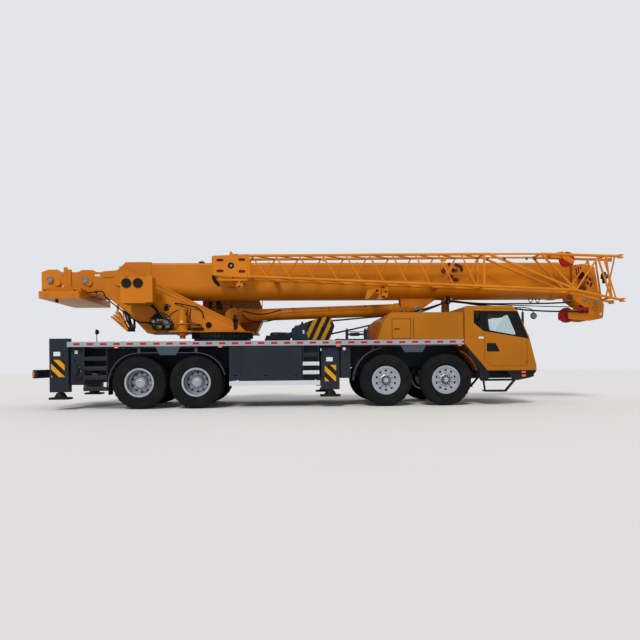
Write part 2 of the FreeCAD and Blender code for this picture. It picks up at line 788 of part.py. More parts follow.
def cab_profile(inset):
    """The cab's side outline, moved inwards by inset."""
    i = inset
    return [
        (cab_rear_x + i, 1440.0 + i * 0.4), (cab_rear_x + i, cab_roof - i, 70.0),
        (4090.0 - i * 0.7, cab_roof - i, 70.0), (screen_top_x - i * 1.1, screen_top_z - i * 0.5, 60.0),
        (screen_low_x - i * 1.1, belt_z),
        (4655.0 - i * 1.05, 920.0, 60.0), (4660.0 - i * 1.05, cab_floor_bottom + i),
        (3500.0 + i * 0.4, cab_floor_bottom + i),
    ]


def pillar_x(z, inset):
    """The windscreen pillar's rear line at height z, inset from the windscreen's plane."""
    return screen_low_x - inset - (z - belt_z) * screen_slope


def door_outline(grow):
    top = door_top + grow
    return [
        (door_rear_x - grow, 1080.0 - grow * 0.4), (door_rear_x - grow, top, 30.0),
        (pillar_x(top, 105.0) + grow, top, 30.0), (door_hinge_x + grow, belt_z - 65.0),
        (door_hinge_x + grow, door_bottom - grow, 25.0),
        (door_rear_x + 160.0, door_bottom - grow),
    ]


def window_outline():
    """The door's window, whose lower edge slants down towards the front."""
    return [(3548.0, 1742.0, 40.0), (3495.0, 2125.0, 40.0),
            (3990.0, 2112.0, 40.0), (4205.0, 1618.0, 40.0)]


def quarter_outline():
    """The small window behind the door, cut off along its lower rear corner."""
    return [(3205.0, 1890.0, 15.0), (3205.0, 2165.0, 25.0),
            (3338.0, 2160.0, 25.0), (3322.0, 1832.0, 15.0)]


def screen_outline(grow, depth):
    """The windscreen's opening as a side outline, depth either side of the slope."""
    low, high = belt_z + 55.0 - grow, screen_top_z - 55.0 + grow
    low_x, high_x = pillar_x(low, 0.0), pillar_x(high, 0.0)
    return [(low_x - depth[0], low), (high_x - depth[0], high), (high_x - depth[1], high),
            (low_x - depth[1], low)]


def rear_window_outline(inset):
    half = rear_window_half_width - inset
    low, high = rear_window_heights[0] + inset, rear_window_heights[1] - inset
    return [(-half, low, 50.0), (-half, high, 50.0), (half, high, 50.0), (half, low, 50.0)]


def cab_shell():
    wall = cab_wall
    shell = side_plate(cab_profile(0.0), -cab_half_width, cab_half_width)
    shell = shell.cut(side_plate(cab_profile(wall), -cab_half_width + wall, cab_half_width - wall))
    cuts = []
    for side in (-1.0, 1.0):
        y0, y1 = sorted((side * (cab_half_width - wall - 2.0), side * (cab_half_width + 2.0)))
        cuts.append(side_plate(door_outline(door_gap), y0, y1))
        cuts.append(side_plate(quarter_outline(), y0, y1))
    cuts.append(side_plate(screen_outline(0.0, (-60.0, 120.0)), -screen_half_width,
                           screen_half_width))
    cuts.append(cross_plate(rear_window_outline(0.0), cab_rear_x - 5.0, cab_rear_x + wall + 5.0))
    lugs = []
    for side in (-1.0, 1.0):
        for z in door_hinge_heights:
            y = side * door_hinge_y
            lugs.append(shaft_z(door_hinge_x, y, door_hinge_radius, z, z + door_hinge_height))
            tab0, tab1 = sorted((y - side * 30.0, y))
            lugs.append(block(door_hinge_x, door_hinge_x + door_gap + 12.0, tab0, tab1,
                              z, z + door_hinge_height))
            upper = z + door_hinge_height
            cuts.append(shaft_z(door_hinge_x, y, door_hinge_radius + 4.0, upper,
                                upper + door_hinge_height + 4.0))
    return joined([shell.cut(cuts)] + lugs)


def cab_glazing():
    pane = 8.0
    fit = seat_gap
    half = screen_half_width - fit
    panes = [side_plate(screen_outline(-fit, (12.0, 12.0 + pane)), -half, half)]
    for side in (-1.0, 1.0):
        y0, y1 = sorted((side * (cab_half_width - 14.0), side * (cab_half_width - 14.0 - pane)))
        quarter = [(x + (fit if x < 3270.0 else -fit), z + (fit if z < 2000.0 else -fit), r)
                   for x, z, r in quarter_outline()]
        panes.append(side_plate(quarter, y0, y1))
    panes.append(cross_plate(rear_window_outline(fit), cab_rear_x + 12.0, cab_rear_x + 12.0 + pane))
    return panes


def cab_door(side):
    y0, y1 = sorted((side * (cab_half_width - cab_wall), side * cab_half_width))
    panel = side_plate(door_outline(0.0), y0, y1)
    panel = panel.cut(side_plate(window_outline(), y0 - 2.0, y1 + 2.0))
    lugs = []
    for z in door_hinge_heights:
        y = side * door_hinge_y
        upper = z + door_hinge_height + seat_gap
        panel = panel.cut(shaft_z(door_hinge_x, y, door_hinge_radius + 20.0, z - 4.0, upper))
        lugs.append(shaft_z(door_hinge_x, y, door_hinge_radius, upper, z + 2.0 * door_hinge_height))
    recess = side * (cab_half_width - 18.0)
    r0, r1 = sorted((recess, side * (cab_half_width + 2.0)))
    handle = side_plate(handle_outline, r0, r1)
    grip = block(handle_outline[0][0], handle_outline[2][0], r0, r1, 1328.0, 1358.0)
    return joined([panel.cut(handle), grip.common(panel)] + lugs)


def cab_interior():
    """Two seats, the dash with its column and wheel, and the middle console."""
    floor = cab_floor_bottom + cab_wall
    shapes = []
    dash = side_plate([(3960.0, 1460.0), (4330.0, 1560.0), (4420.0, 1560.0), (4560.0, 1020.0),
                       (4560.0, floor + 120.0), (4380.0, floor + 120.0), (4300.0, 1200.0)],
                      -1300.0, 1300.0)
    foot = block(4380.0, 4500.0, -1250.0, 1250.0, floor, floor + 130.0)
    column = bar((4330.0, 700.0, 1300.0), (3930.0, 700.0, 1500.0), 30.0)
    slope = Vector(-400.0, 0, 200.0).normalize()
    wheel = Part.makeTorus(210.0, 16.0, Vector(3930.0, 700.0, 1500.0), slope)
    spoke = bar((3930.0, 495.0, 1500.0), (3930.0, 905.0, 1500.0), 13.0)
    shapes.append(joined([dash, foot, column, wheel, spoke]))
    for y in (-700.0, 700.0):
        x = seat_rear_x
        base = block(x + 140.0, x + 440.0, y - 200.0, y + 200.0, floor, floor + 270.0)
        pad = side_plate([(x, floor + 250.0), (x + 520.0, floor + 270.0, 50.0),
                          (x + 520.0, floor + 400.0, 60.0), (x, floor + 380.0)],
                         y - 260.0, y + 260.0)
        back = side_plate([(x - 10.0, floor + 300.0), (x + 120.0, floor + 300.0),
                           (x - 10.0, floor + 1000.0, 40.0), (x - 120.0, floor + 1000.0, 40.0)],
                          y - 250.0, y + 250.0)
        head = side_plate([(x - 120.0, floor + 985.0), (x - 30.0, floor + 985.0),
                           (x - 45.0, floor + 1200.0, 40.0), (x - 135.0, floor + 1200.0, 40.0)],
                          y - 140.0, y + 140.0)
        shapes.append(joined([base, pad, back, head]))
    console = block(3560.0, 4100.0, -230.0, 230.0, floor, floor + 330.0)
    shapes.append(console)
    return shapes


def cab_fittings():
    """Front bumper whose ends sweep back under the doors to the entry steps."""
    bumper = side_plate([
        (frame_front_x, cab_floor_bottom - 2.0), (frame_front_x, 625.0), (4526.0, 636.0, 30.0),
        (4652.0, 775.0, 30.0), (4656.0, cab_floor_bottom - 2.0),
    ], -1385.0, 1385.0)
    parts = [bumper]
    for side in (-1.0, 1.0):
        wing0, wing1 = sorted((side * 1320.0, side * 1380.0))
        parts.append(side_plate([
            (frame_front_x + 5.0, cab_floor_bottom - 2.0), (frame_front_x + 5.0, 626.0),
            (4216.0, 572.0), (4125.0, 574.0), (3960.0, 790.0), (3960.0, cab_floor_bottom - 2.0),
        ], wing0, wing1))
        foot_y = side * 1350.0
        rear_leg = joined([bar((3446.0, foot_y, 330.0), (3410.0, foot_y, 606.0), 18.0),
                           bar((3410.0, foot_y, 606.0), (3520.0, foot_y, 830.0), 18.0)])
        parts.append(rear_leg.common(block(3300.0, 3700.0, -1400.0, 1400.0, 0.0,
                                           cab_floor_bottom - 1.0)))
        parts.append(bar((3908.0, foot_y, 330.0), (4150.0, foot_y, 605.0), 18.0))
        low0, low1 = sorted((side * 1140.0, side * 1380.0))
        parts.append(block(3440.0, 3925.0, low0, low1, 318.0, 346.0))
        parts.append(block(3402.0, 4118.0, low0 + 30.0, low1 - 30.0, 560.0, 584.0))
    return joined(parts)


# Outriggers

def outrigger_beam(x, jack_top, side, lane):
    """One sliding beam in its lane of the box, with its end plate and jack casing."""
    low = outrigger_box_bottom + outrigger_box_wall + seat_gap
    inner = outrigger_box_half_length - outrigger_box_wall
    middle = x + lane * inner / 2.0
    box_end = outrigger_box_half_width
    beam = block(middle - beam_width / 2.0, middle + beam_width / 2.0,
                 -box_end + 30.0, box_end + moving_gap + 5.0, low, low + beam_height)
    hollow = block(middle - beam_width / 2.0 + beam_plate, middle + beam_width / 2.0 - beam_plate,
                   -box_end + 25.0, box_end - 60.0, low + beam_plate,
                   low + beam_height - beam_plate)
    plate = block(x - outrigger_box_half_length, x + outrigger_box_half_length,
                  box_end + moving_gap, box_end + moving_gap + beam_end_plate,
                  outrigger_box_bottom, outrigger_box_top)
    jack_y = box_end + moving_gap + beam_end_plate
    casing = block(x - jack_half_length, x + jack_half_length, jack_y - 2.0, jack_y + jack_depth,
                   jack_bottom, jack_top)
    bore = shaft_z(x, jack_y + jack_depth / 2.0, jack_rod_radius + seat_gap,
                   jack_bottom - 1.0, jack_top - 40.0)
    whole = joined([beam.cut(hollow), plate, casing]).cut(bore)
    return whole if side > 0 else mirrored(whole)


def outrigger_jack(x, jack_top, side):
    """A jack's rod with its float."""
    y = outrigger_box_half_width + moving_gap + beam_end_plate + jack_depth / 2.0
    rod = shaft_z(x, y, jack_rod_radius, float_bottom + float_thickness / 2.0, jack_top - 60.0)
    boss = turned_z([(0.0, float_bottom + float_thickness - 1.0),
                     (float_boss_radius + 40.0, float_bottom + float_thickness - 1.0),
                     (float_boss_radius - 20.0, jack_bottom - moving_gap - 8.0),
                     (0.0, jack_bottom - moving_gap - 8.0)], x, y)
    pad = floor_plate([
        (x - float_half_length, y - float_half_width, 110.0),
        (x + float_half_length, y - float_half_width, 110.0),
        (x + float_half_length, y + float_half_width, 110.0),
        (x - float_half_length, y + float_half_width, 110.0),
    ], float_bottom, float_bottom + float_thickness)
    whole = joined([rod, boss, pad])
    return whole if side > 0 else mirrored(whole)


# Turntable and what it carries

def turntable_outline():
    return [
        (-5546.0, 2663.0), (-5560.0, 3255.0), (-5004.0, 3298.0, 60.0), (-4601.0, 3124.0, 80.0),
        (-2402.0, 2024.0, 60.0), (-2137.0, table_plate_bottom + 5.0),
        (-4530.0, table_plate_bottom + 5.0), (-4814.0, 2084.0, 60.0), (-5358.0, 2567.0, 60.0),
    ]


def turntable():
    parts = []
    inner, thick = table_side_inner, table_side_thickness
    bottom = table_plate_bottom
    parts.append(shaft_z(slew_x, 0.0, ring_radius + 30.0, bottom, bottom + table_plate))
    parts.append(block(-4530.0, slew_x, -inner - thick, inner + thick, bottom, bottom + table_plate))
    parts.append(shaft_z(slew_x, 0.0, 545.0, ring_bottom + 15.0, bottom + 5.0))
    for side in (-1.0, 1.0):
        y0, y1 = sorted((side * inner, side * (inner + thick)))
        plate = side_plate(turntable_outline(), y0, y1)
        plate = plate.cut(shaft_y(-3060.0, 1900.0, 58.0, y0 - 1.0, y1 + 1.0))
        plate = plate.cut(side_plate([(-4130.0, 2300.0, 42.0), (-4000.0, 2300.0, 42.0),
                                      (-4000.0, 2410.0, 42.0), (-4130.0, 2410.0, 42.0)],
                                     y0 - 1.0, y1 + 1.0))
        parts.append(plate)
        b0, b1 = sorted((side * (inner + thick - 2.0),
                         side * (inner + thick + table_band_thickness)))
        outline = turntable_outline()
        outer = outline[1:6]
        drop = table_band_height
        lower = [(-2330.0, bottom + 5.0), (-2500.0, 1960.0), (-4640.0, 3124.0 - drop + 25.0),
                 (-5010.0, 3298.0 - drop), (-5556.0, 3255.0 - drop)]
        parts.append(side_plate([(p[0], p[1]) for p in outer] + lower, b0, b1))
        floor = counterweight_bottom + counterweight_height - 30.0
        tail = [(tail_rear_x, floor), (tail_rear_x, tail_top), (-6840.0, 3300.0), (-6620.0, 3300.0),
                (-6540.0, tail_top), (-6140.0, tail_top), (-6060.0, 3290.0), (-5800.0, 3290.0),
                (-5700.0, tail_top), (-5540.0, tail_top), (-5540.0, floor)]
        parts.append(side_plate(tail, y0, y1))
        for x, z in [row[:2] for row in winch_table]:
            boss0, boss1 = sorted((side * (inner + 5.0), side * (inner + thick + 45.0)))
            parts.append(shaft_y(x, z, 78.0, boss0, boss1))
            pin0, pin1 = sorted((side * (inner + 5.0), side * (winch_half_width - 50.0)))
            parts.append(shaft_y(x, z, winch_shaft_radius, pin0, pin1))
        post0, post1 = sorted((side * (inner + 5.0), side * (inner + thick + 30.0)))
        parts.append(block(-6378.0, -6300.0, post0, post1, 2690.0, tail_top + 60.0))
        foot0, foot1 = sorted((side * (inner - 60.0), side * (inner + thick + 40.0)))
        parts.append(shaft_y(boom_pivot_x, boom_pivot_z, 150.0, foot0, foot1))
        lug0, lug1 = sorted((side * (cylinder_eye_half_width + moving_gap + 14.0),
                             side * (cylinder_eye_half_width + moving_gap + 14.0
                                     + cylinder_lug_thickness)))
        parts.append(side_plate([
            (cylinder_base_x - 330.0, bottom + 10.0), (cylinder_base_x + 250.0, bottom + 10.0),
            (cylinder_base_x + 110.0, cylinder_base_z + 40.0, 60.0),
            (cylinder_base_x + 60.0, cylinder_base_z + 110.0, 60.0),
            (cylinder_base_x - 60.0, cylinder_base_z + 110.0, 60.0),
            (cylinder_base_x - 110.0, cylinder_base_z + 40.0, 60.0),
        ], lug0, lug1))
    parts.append(shaft_y(boom_pivot_x, boom_pivot_z, boom_pin_radius, -inner - 10.0, inner + 10.0))
    lug_outer = cylinder_eye_half_width + moving_gap + 14.0 + 20.0
    parts.append(shaft_y(cylinder_base_x, cylinder_base_z, cylinder_pin_radius,
                         -lug_outer, lug_outer))
    floor = counterweight_bottom + counterweight_height - 30.0
    parts.append(block(tail_rear_x, tail_rear_x + 40.0, -inner - 5.0, inner + 5.0, floor, 3100.0))
    parts.append(block(tail_rear_x + 200.0, -5550.0, -inner - 5.0, inner + 5.0, floor, floor + 30.0))
    parts.append(side_plate([(-5540.0, 2670.0), (-5540.0, 2640.0), (-5340.0, 2552.0),
                             (-4800.0, 2075.0), (-4760.0, 2110.0), (-5320.0, 2592.0)],
                            -inner - 5.0, inner + 5.0))
    reducer_x, reducer_y = -3650.0, -650.0
    parts.append(floor_plate([(-4050.0, -400.0), (-3950.0, -830.0, 80.0), (-3420.0, -830.0, 80.0),
                              (-3200.0, -600.0), (-3200.0, -400.0)], bottom, bottom + table_plate))
    parts.append(turned_z([(0.0, 1620.0), (70.0, 1620.0), (70.0, 1700.0), (125.0, 1700.0),
                           (125.0, 1960.0), (160.0, 1960.0), (160.0, 1990.0), (110.0, 1990.0),
                           (110.0, 2170.0), (82.0, 2170.0), (82.0, 2310.0), (0.0, 2310.0)],
                          reducer_x, reducer_y))
    outer = inner + thick
    parts.append(block(-4345.0, -4135.0, -outer - 270.0, -outer + 2.0, 1850.0, 2130.0))
    parts.append(shaft_y(-4005.0, 2010.0, 105.0, -outer - 310.0, -outer + 2.0))
    parts.append(shaft_y(-4005.0, 2010.0, 60.0, -outer - 350.0, -outer - 300.0))
    parts.append(floor_plate([(-3480.0, 400.0), (-3480.0, upper_cab_outer_y - 60.0, 60.0),
                              (-1900.0, upper_cab_outer_y - 60.0, 60.0), (-1900.0, 640.0, 60.0),
                              (-2300.0, 400.0)], bottom, bottom + table_plate))
    return joined(parts)


def counterweight():
    """Slab under the tail with raised ends either side of the winches."""
    top = counterweight_bottom + counterweight_height
    inner = table_side_inner + table_side_thickness + 36.0
    slab = floor_plate([
        (counterweight_rear_x, -counterweight_half_width, 60.0),
        (counterweight_front_x, -counterweight_half_width, 60.0),
        (counterweight_front_x, counterweight_half_width, 60.0),
        (counterweight_rear_x, counterweight_half_width, 60.0),
    ], counterweight_bottom, top - 30.0)
    parts = [slab]
    for side in (-1.0, 1.0):
        y0, y1 = sorted((side * inner, side * counterweight_half_width))
        parts.append(block(counterweight_rear_x + 20.0, counterweight_front_x - 20.0, y0,
                           y1, top - 35.0, top))
        y0, y1 = sorted((side * inner, side * (counterweight_half_width - 250.0)))
        parts.append(side_plate([
            (counterweight_rear_x + 60.0, top - 5.0), (counterweight_front_x - 60.0, top - 5.0),
            (counterweight_front_x - 60.0, top + 120.0, 60.0),
            (counterweight_rear_x + 60.0, top + 120.0, 60.0),
        ], y0, y1))
    return joined(parts)


def winch_drums():
    drums = []
    half = winch_half_width
    for x, z, flange, drum in winch_table:
        shell = turned_y([
            (-half, 0.0), (-half, flange), (-half + 22.0, flange), (-half + 22.0, drum),
            (half - 22.0, drum), (half - 22.0, flange), (half, flange), (half, 0.0),
        ], x, z)
        bores = [shaft_y(x, z, winch_shaft_radius + seat_gap, -half - 1.0, -half + 60.0),
                 shaft_y(x, z, winch_shaft_radius + seat_gap, half - 60.0, half + 1.0)]
        drums.append(shell.cut(bores))
    return drums


def upper_cab_profile(inset):
    i = inset
    return [
        (upper_cab_rear_x + i, upper_cab_bottom + i, 30.0), (upper_cab_rear_x + i, upper_cab_top - i, 80.0),
        (upper_cab_front_x - 330.0 - i, upper_cab_top - i, 120.0),
        (upper_cab_front_x - i, 2480.0), (upper_cab_front_x - i, 2120.0, 40.0),
        (upper_cab_front_x - 160.0 - i, upper_cab_bottom + i, 40.0),
    ]


def upper_cab():
    wall = upper_cab_wall
    shell = side_plate(upper_cab_profile(0.0), upper_cab_inner_y, upper_cab_outer_y)
    shell = shell.cut(side_plate(upper_cab_profile(wall), upper_cab_inner_y + wall,
                                 upper_cab_outer_y - wall))
    side_window = upper_cab_window()
    cuts = [side_plate(side_window, upper_cab_inner_y - 2.0, upper_cab_inner_y + wall + 2.0),
            side_plate(side_window, upper_cab_outer_y - wall - 2.0, upper_cab_outer_y + 2.0)]
    low, high = 2500.0, upper_cab_top - 150.0
    cuts.append(side_plate(upper_screen(low, high, -90.0, 110.0), upper_cab_inner_y + wall + 20.0,
                           upper_cab_outer_y - wall - 20.0))
    cuts.append(cross_plate(upper_rear_window(0.0), upper_cab_rear_x - 2.0,
                            upper_cab_rear_x + wall + 2.0))
    seat = side_plate([(-2900.0, upper_cab_bottom + wall - 5.0), (-2480.0, upper_cab_bottom + wall - 5.0),
                       (-2480.0, 2180.0), (-2380.0, 2200.0, 30.0), (-2380.0, 2330.0, 50.0),
                       (-2840.0, 2310.0, 20.0), (-2960.0, 2900.0, 40.0), (-3060.0, 2900.0, 40.0),
                       (-2960.0, 2180.0, 30.0)],
                      upper_cab_inner_y + 170.0, upper_cab_outer_y - 170.0)
    console = side_plate([(-2180.0, upper_cab_bottom + wall - 5.0),
                          (-2040.0, upper_cab_bottom + wall - 5.0), (-1960.0, 2440.0, 30.0),
                          (-2130.0, 2470.0, 30.0)],
                         upper_cab_inner_y + 250.0, upper_cab_outer_y - 250.0)
    return joined([shell.cut(cuts), seat, console])


def upper_cab_window():
    low, high = 2420.0, upper_cab_top - 150.0
    return [(upper_cab_rear_x + 150.0, low, 50.0), (upper_cab_rear_x + 150.0, high, 50.0),
            (upper_cab_front_x - 430.0, high, 50.0), (upper_cab_front_x - 150.0, 2560.0, 50.0),
            (upper_cab_front_x - 150.0, low, 50.0)]


def upper_screen(low, high, front, back):
    """A slanted side outline through the upper windscreen, from front to back of the slope."""
    slope = 330.0 / (upper_cab_top - 2480.0)
    low_x = upper_cab_front_x - (low - 2480.0) * slope
    high_x = upper_cab_front_x - (high - 2480.0) * slope
    return [(low_x - front, low), (high_x - front, high), (high_x - back, high),
            (low_x - back, low)]


def upper_rear_window(inset):
    y0, y1 = upper_cab_inner_y + 130.0 + inset, upper_cab_outer_y - 130.0 - inset
    z0, z1 = 2500.0 + inset, upper_cab_top - 170.0 - inset
    return [(y0, z0, 40.0), (y0, z1, 40.0), (y1, z1, 40.0), (y1, z0, 40.0)]


def upper_cab_glazing():
    pane, fit, wall = 7.0, seat_gap, upper_cab_wall
    low, high = 2500.0 + fit, upper_cab_top - 150.0 - fit
    panes = [side_plate(upper_screen(low, high, 10.0, 10.0 + pane),
                        upper_cab_inner_y + wall + 20.0 + fit, upper_cab_outer_y - wall - 20.0 - fit)]
    window = upper_cab_window()
    middle_x = sum(p[0] for p in window) / len(window)
    middle_z = sum(p[1] for p in window) / len(window)
    shrunk = [(x + (fit if x < middle_x else -fit), z + (fit if z < middle_z else -fit), r)
              for x, z, r in window]
    panes.append(side_plate(shrunk, upper_cab_inner_y + 10.0, upper_cab_inner_y + 10.0 + pane))
    panes.append(side_plate(shrunk, upper_cab_outer_y - 10.0 - pane, upper_cab_outer_y - 10.0))
    panes.append(cross_plate(upper_rear_window(fit), upper_cab_rear_x + 10.0,
                             upper_cab_rear_x + 10.0 + pane))
    return panes


def control_box():
    """The tank on the turntable's right side, with a cap ring over each of its ports."""
    outer_y = -1200.0
    inner_y = -650.0
    tank = side_plate([(-4955.0, 2421.0, 35.0), (-4955.0, 3016.0, 35.0), (-4367.0, 3016.0, 35.0),
                       (-4367.0, 2421.0, 35.0)], outer_y, inner_y)
    bracket = block(-4890.0, -4430.0, inner_y - 5.0, -(table_side_inner + table_side_thickness),
                    2500.0, 2850.0)
    parts = [tank, bracket]
    for x in (-4818.0, -4557.0):
        parts.append(shaft_y(x, 2879.0, 112.0, outer_y - 18.0, outer_y + 5.0))
    return joined(parts)


# Boom

def boom_section_outline(inset):
    """A section's outline: flat top, straight sides and a half-round bottom."""
    half = boom_half_width - inset
    bottom = boom_bottom + inset
    top = boom_top - inset
    corner = boom_corner_radius - inset * 0.4
    centre_z = bottom + half
    place = lambda y, z: Vector(0.0, y, z)
    k = math.sqrt(0.5)
    edges = [
        Part.makeLine(place(-half, centre_z), place(-half, top - corner)),
        Part.Arc(place(-half, top - corner), place(-half + corner * (1 - k), top - corner * (1 - k)),
                 place(-half + corner, top)).toShape(),
        Part.makeLine(place(-half + corner, top), place(half - corner, top)),
        Part.Arc(place(half - corner, top), place(half - corner * (1 - k), top - corner * (1 - k)),
                 place(half, top - corner)).toShape(),
        Part.makeLine(place(half, top - corner), place(half, centre_z)),
        Part.Arc(place(half, centre_z), place(0.0, bottom), place(-half, centre_z)).toShape(),
    ]
    return Part.Face(Part.Wire(edges))


def boom_tube(inset, x0, x1):
    face = boom_section_outline(inset)
    face.translate(Vector(x0, 0.0, 0.0))
    return face.extrude(Vector(x1 - x0, 0.0, 0.0))


def section_front(number):
    """Where a section's collar ends, counting the base section as 1."""
    return boom_front_x + (number - 1) * (boom_collar_length + boom_collar_gap)


def wear_pads(inset, front_x):
    """Pads inside a section's mouth that carry the next section, one on each flat."""
    reach = boom_step - boom_wall - seat_gap
    outer = boom_tube(inset + boom_wall - 3.0, front_x - wear_pad_length, front_x - 10.0)
    inner = boom_tube(inset + boom_wall + reach, front_x - wear_pad_length - 5.0, front_x)
    ring = outer.cut(inner)
    windows = [
        block(front_x - 400.0, front_x + 10.0, -180.0, 180.0, boom_top - 200.0, boom_top + 50.0),
        block(front_x - 400.0, front_x + 10.0, -260.0, -90.0, boom_bottom - 50.0, 2800.0),
        block(front_x - 400.0, front_x + 10.0, 90.0, 260.0, boom_bottom - 50.0, 2800.0),
    ]
    return [ring.common(w) for w in windows]


def boom_base():
    parts = [boom_tube(0.0, boom_rear_x + 20.0, boom_front_x),
             boom_tube(-15.0, boom_front_x - 150.0, boom_front_x)]
    root = side_plate([
        (boom_pivot_x - 150.0, 2960.0), (boom_pivot_x - 130.0, 3290.0, 60.0),
        (-5049.0, boom_top + 12.0, 40.0), (-4449.0, boom_top + 12.0), (-4449.0, boom_bottom + 80.0),
        (-4800.0, boom_bottom + 120.0, 80.0), (boom_pivot_x - 60.0, 2850.0, 60.0),
    ], -boom_half_width - 16.0, boom_half_width + 16.0)
    parts.append(root)
    parts.append(block(boom_rest_x, boom_rest_x + boom_rest_length - 20.0, -170.0, 170.0,
                       boom_bottom - 24.0, boom_bottom + 120.0))
    for catch, arm_x, arm_z in jib_catch_table:
        parts.append(side_plate(catch, jib_far_y - 30.0, jib_far_y + 20.0))
        parts.append(block(arm_x, arm_x + 200.0, jib_far_y - 10.0, -150.0, arm_z, arm_z + 70.0))
    whole = joined(parts)
    cavity = boom_tube(boom_wall, -4700.0, boom_front_x + 5.0)
    pin = shaft_y(boom_pivot_x, boom_pivot_z, boom_pin_radius + seat_gap, -500.0, 500.0)
    whole = whole.cut([cavity, pin])
    return Part.makeCompound([joined([whole] + wear_pads(0.0, boom_front_x))] + rod_brackets())


def rod_brackets():
    """The two plates under the boom that hold the lift cylinder's rod pin."""
    outside = boom_tube(0.0, boom_rear_x + 20.0, boom_front_x)
    plates = []
    for side in (-1.0, 1.0):
        c0, c1 = sorted((side * (cylinder_eye_half_width + moving_gap),
                         side * (cylinder_eye_half_width + moving_gap + 32.0)))
        plate = side_plate([
            (1704.0, boom_bottom + 60.0), (2600.0, boom_bottom + 60.0), (2589.0, boom_bottom + 5.0),
            (2130.0, rod_pin_z - 95.0, 60.0), (1800.0, rod_pin_z - 105.0, 90.0),
            (1704.0, rod_pin_z + 20.0, 40.0),
        ], c0, c1)
        cap0, cap1 = sorted((side * (cylinder_eye_half_width + moving_gap + 30.0),
                             side * (cylinder_eye_half_width + moving_gap + 75.0)))
        cap = shaft_y(rod_pin_x, rod_pin_z, 72.0, cap0, cap1)
        plates.append(joined([plate, cap]).cut(outside))
    return plates


def inner_section(number):
    """A telescoping section: tube, full-size front collar and the pads for the next one."""
    inset = boom_step * (number - 1)
    front = section_front(number)
    tube = boom_tube(inset, -4690.0 + 40.0 * number, front)
    collar = boom_tube(inset - boom_step * 0.75 * (number - 1), front - boom_collar_length, front)
    whole = joined([tube, collar])
    whole = whole.cut(boom_tube(inset + boom_wall, -4700.0, front + 5.0))
    return joined([whole] + wear_pads(inset, front))


def head_plate_outline():
    return [
        (6120.0, 3440.0), (6330.0, 3470.0, 30.0), (6640.0, 3400.0, 60.0), (6760.0, 2700.0, 80.0),
        (6885.0, 2440.0, 60.0), (6852.0, 2090.0, 60.0), (6499.0, 2024.0, 40.0),
        (guide_sheave_x - 85.0, 2080.0, 60.0), (guide_sheave_x - 85.0, 2300.0, 60.0),
        (6190.0, 2306.0), (6190.0, 2368.0), (6380.0, 2368.0), (6100.0, 2560.0), (6060.0, 2660.0),
    ]


def boom_tip():
    """The last section with the sheave head on its end."""
    number = boom_section_count
    inset = boom_step * (number - 1)
    front = section_front(number) + 20.0
    tube = boom_tube(inset, -4690.0 + 40.0 * number, front)
    tube = tube.cut(boom_tube(inset + boom_wall, -4700.0, front - 30.0))
    parts = [tube, boom_tube(0.0, front - 40.0, front)]
    for side in (-1.0, 1.0):
        y0, y1 = sorted((side * head_plate_inner, side * head_plate_outer))
        plate = side_plate(head_plate_outline(), y0, y1)
        plate = plate.cut(side_plate([(6200.0, 2800.0, 40.0), (6200.0, 3270.0, 40.0),
                                      (6380.0, 3270.0, 40.0), (6440.0, 2800.0, 40.0)],
                                     y0 - 1.0, y1 + 1.0))
        parts.append(plate)
    for x, z, radius in head_shaft_table:
        parts.append(shaft_y(x, z, radius, -320.0, 320.0))
    parts.append(block(6120.0, 6330.0, -270.0, 270.0, 3420.0, 3445.0))
    parts.append(block(6090.0, 6118.0, -270.0, 270.0, 2520.0, 3400.0))
    return joined(parts)


head_plate_inner = 262.0
head_plate_outer = 292.0
head_shaft_table = [
    # x, z, radius
    (6640.0, 2330.0, 48.0),
    (6480.0, 3270.0, 40.0),
]
guide_sheave_x = 6035.0
guide_sheave_z = 2192.0
guide_sheave_radius = 195.0
rope_sheave_table = [
    # x, z, radius, half width, shaft radius, lanes
    (6640.0, 2330.0, 205.0, 22.0, 48.0, (-190.0, -95.0, 0.0, 95.0, 190.0)),
    (6480.0, 3270.0, 150.0, 20.0, 40.0, (-60.0, 60.0)),
]


def head_sheaves():
    sheaves = []
    for x, z, radius, half, shaft, lanes in rope_sheave_table:
        for y in lanes:
            sheaves.append(turned_y([
                (y - half, shaft + seat_gap), (y - half, radius), (y - half + 8.0, radius),
                (y, radius - 26.0), (y + half - 8.0, radius), (y + half, radius),
                (y + half, shaft + seat_gap),
            ], x, z))
    reach, hub = head_plate_inner - seat_gap, 42.0
    radius = guide_sheave_radius
    sheaves.append(turned_y([
        (-reach, 0.0), (-reach, hub), (-30.0, hub), (-30.0, radius), (-18.0, radius),
        (0.0, radius - 26.0), (18.0, radius), (30.0, radius), (30.0, hub), (reach, hub),
        (reach, 0.0),
    ], guide_sheave_x, guide_sheave_z))
    return sheaves


# Jib

def jib_chords():
    """End points of the four chords: (start, end) for the near and far sides."""
    chords = []
    for y in (jib_near_y, jib_far_y):
        chords.append(((-2060.0, y, 3495.0), (3610.0, y, 3540.0)))
        chords.append(((-2060.0, y, 3020.0), (5690.0, y, 2690.0)))
    return chords


def chord_height(points, x):
    (x0, y0, z0), (x1, y1, z1) = points
    return z0 + (z1 - z0) * (x - x0) / (x1 - x0)


def jib_fork(x, y, z):
    """A chord's end: two level prongs for an upright pin."""
    parts = [block(x - 30.0, x + 10.0, y - 45.0, y + 45.0, z - 44.0, z + 44.0)]
    for low in (z - 44.0, z + 20.0):
        prong = block(x, x + 70.0, y - 45.0, y + 45.0, low, low + 24.0)
        parts.append(prong.cut(shaft_z(x + 42.0, y, 17.0, low - 1.0, low + 25.0)))
    return parts


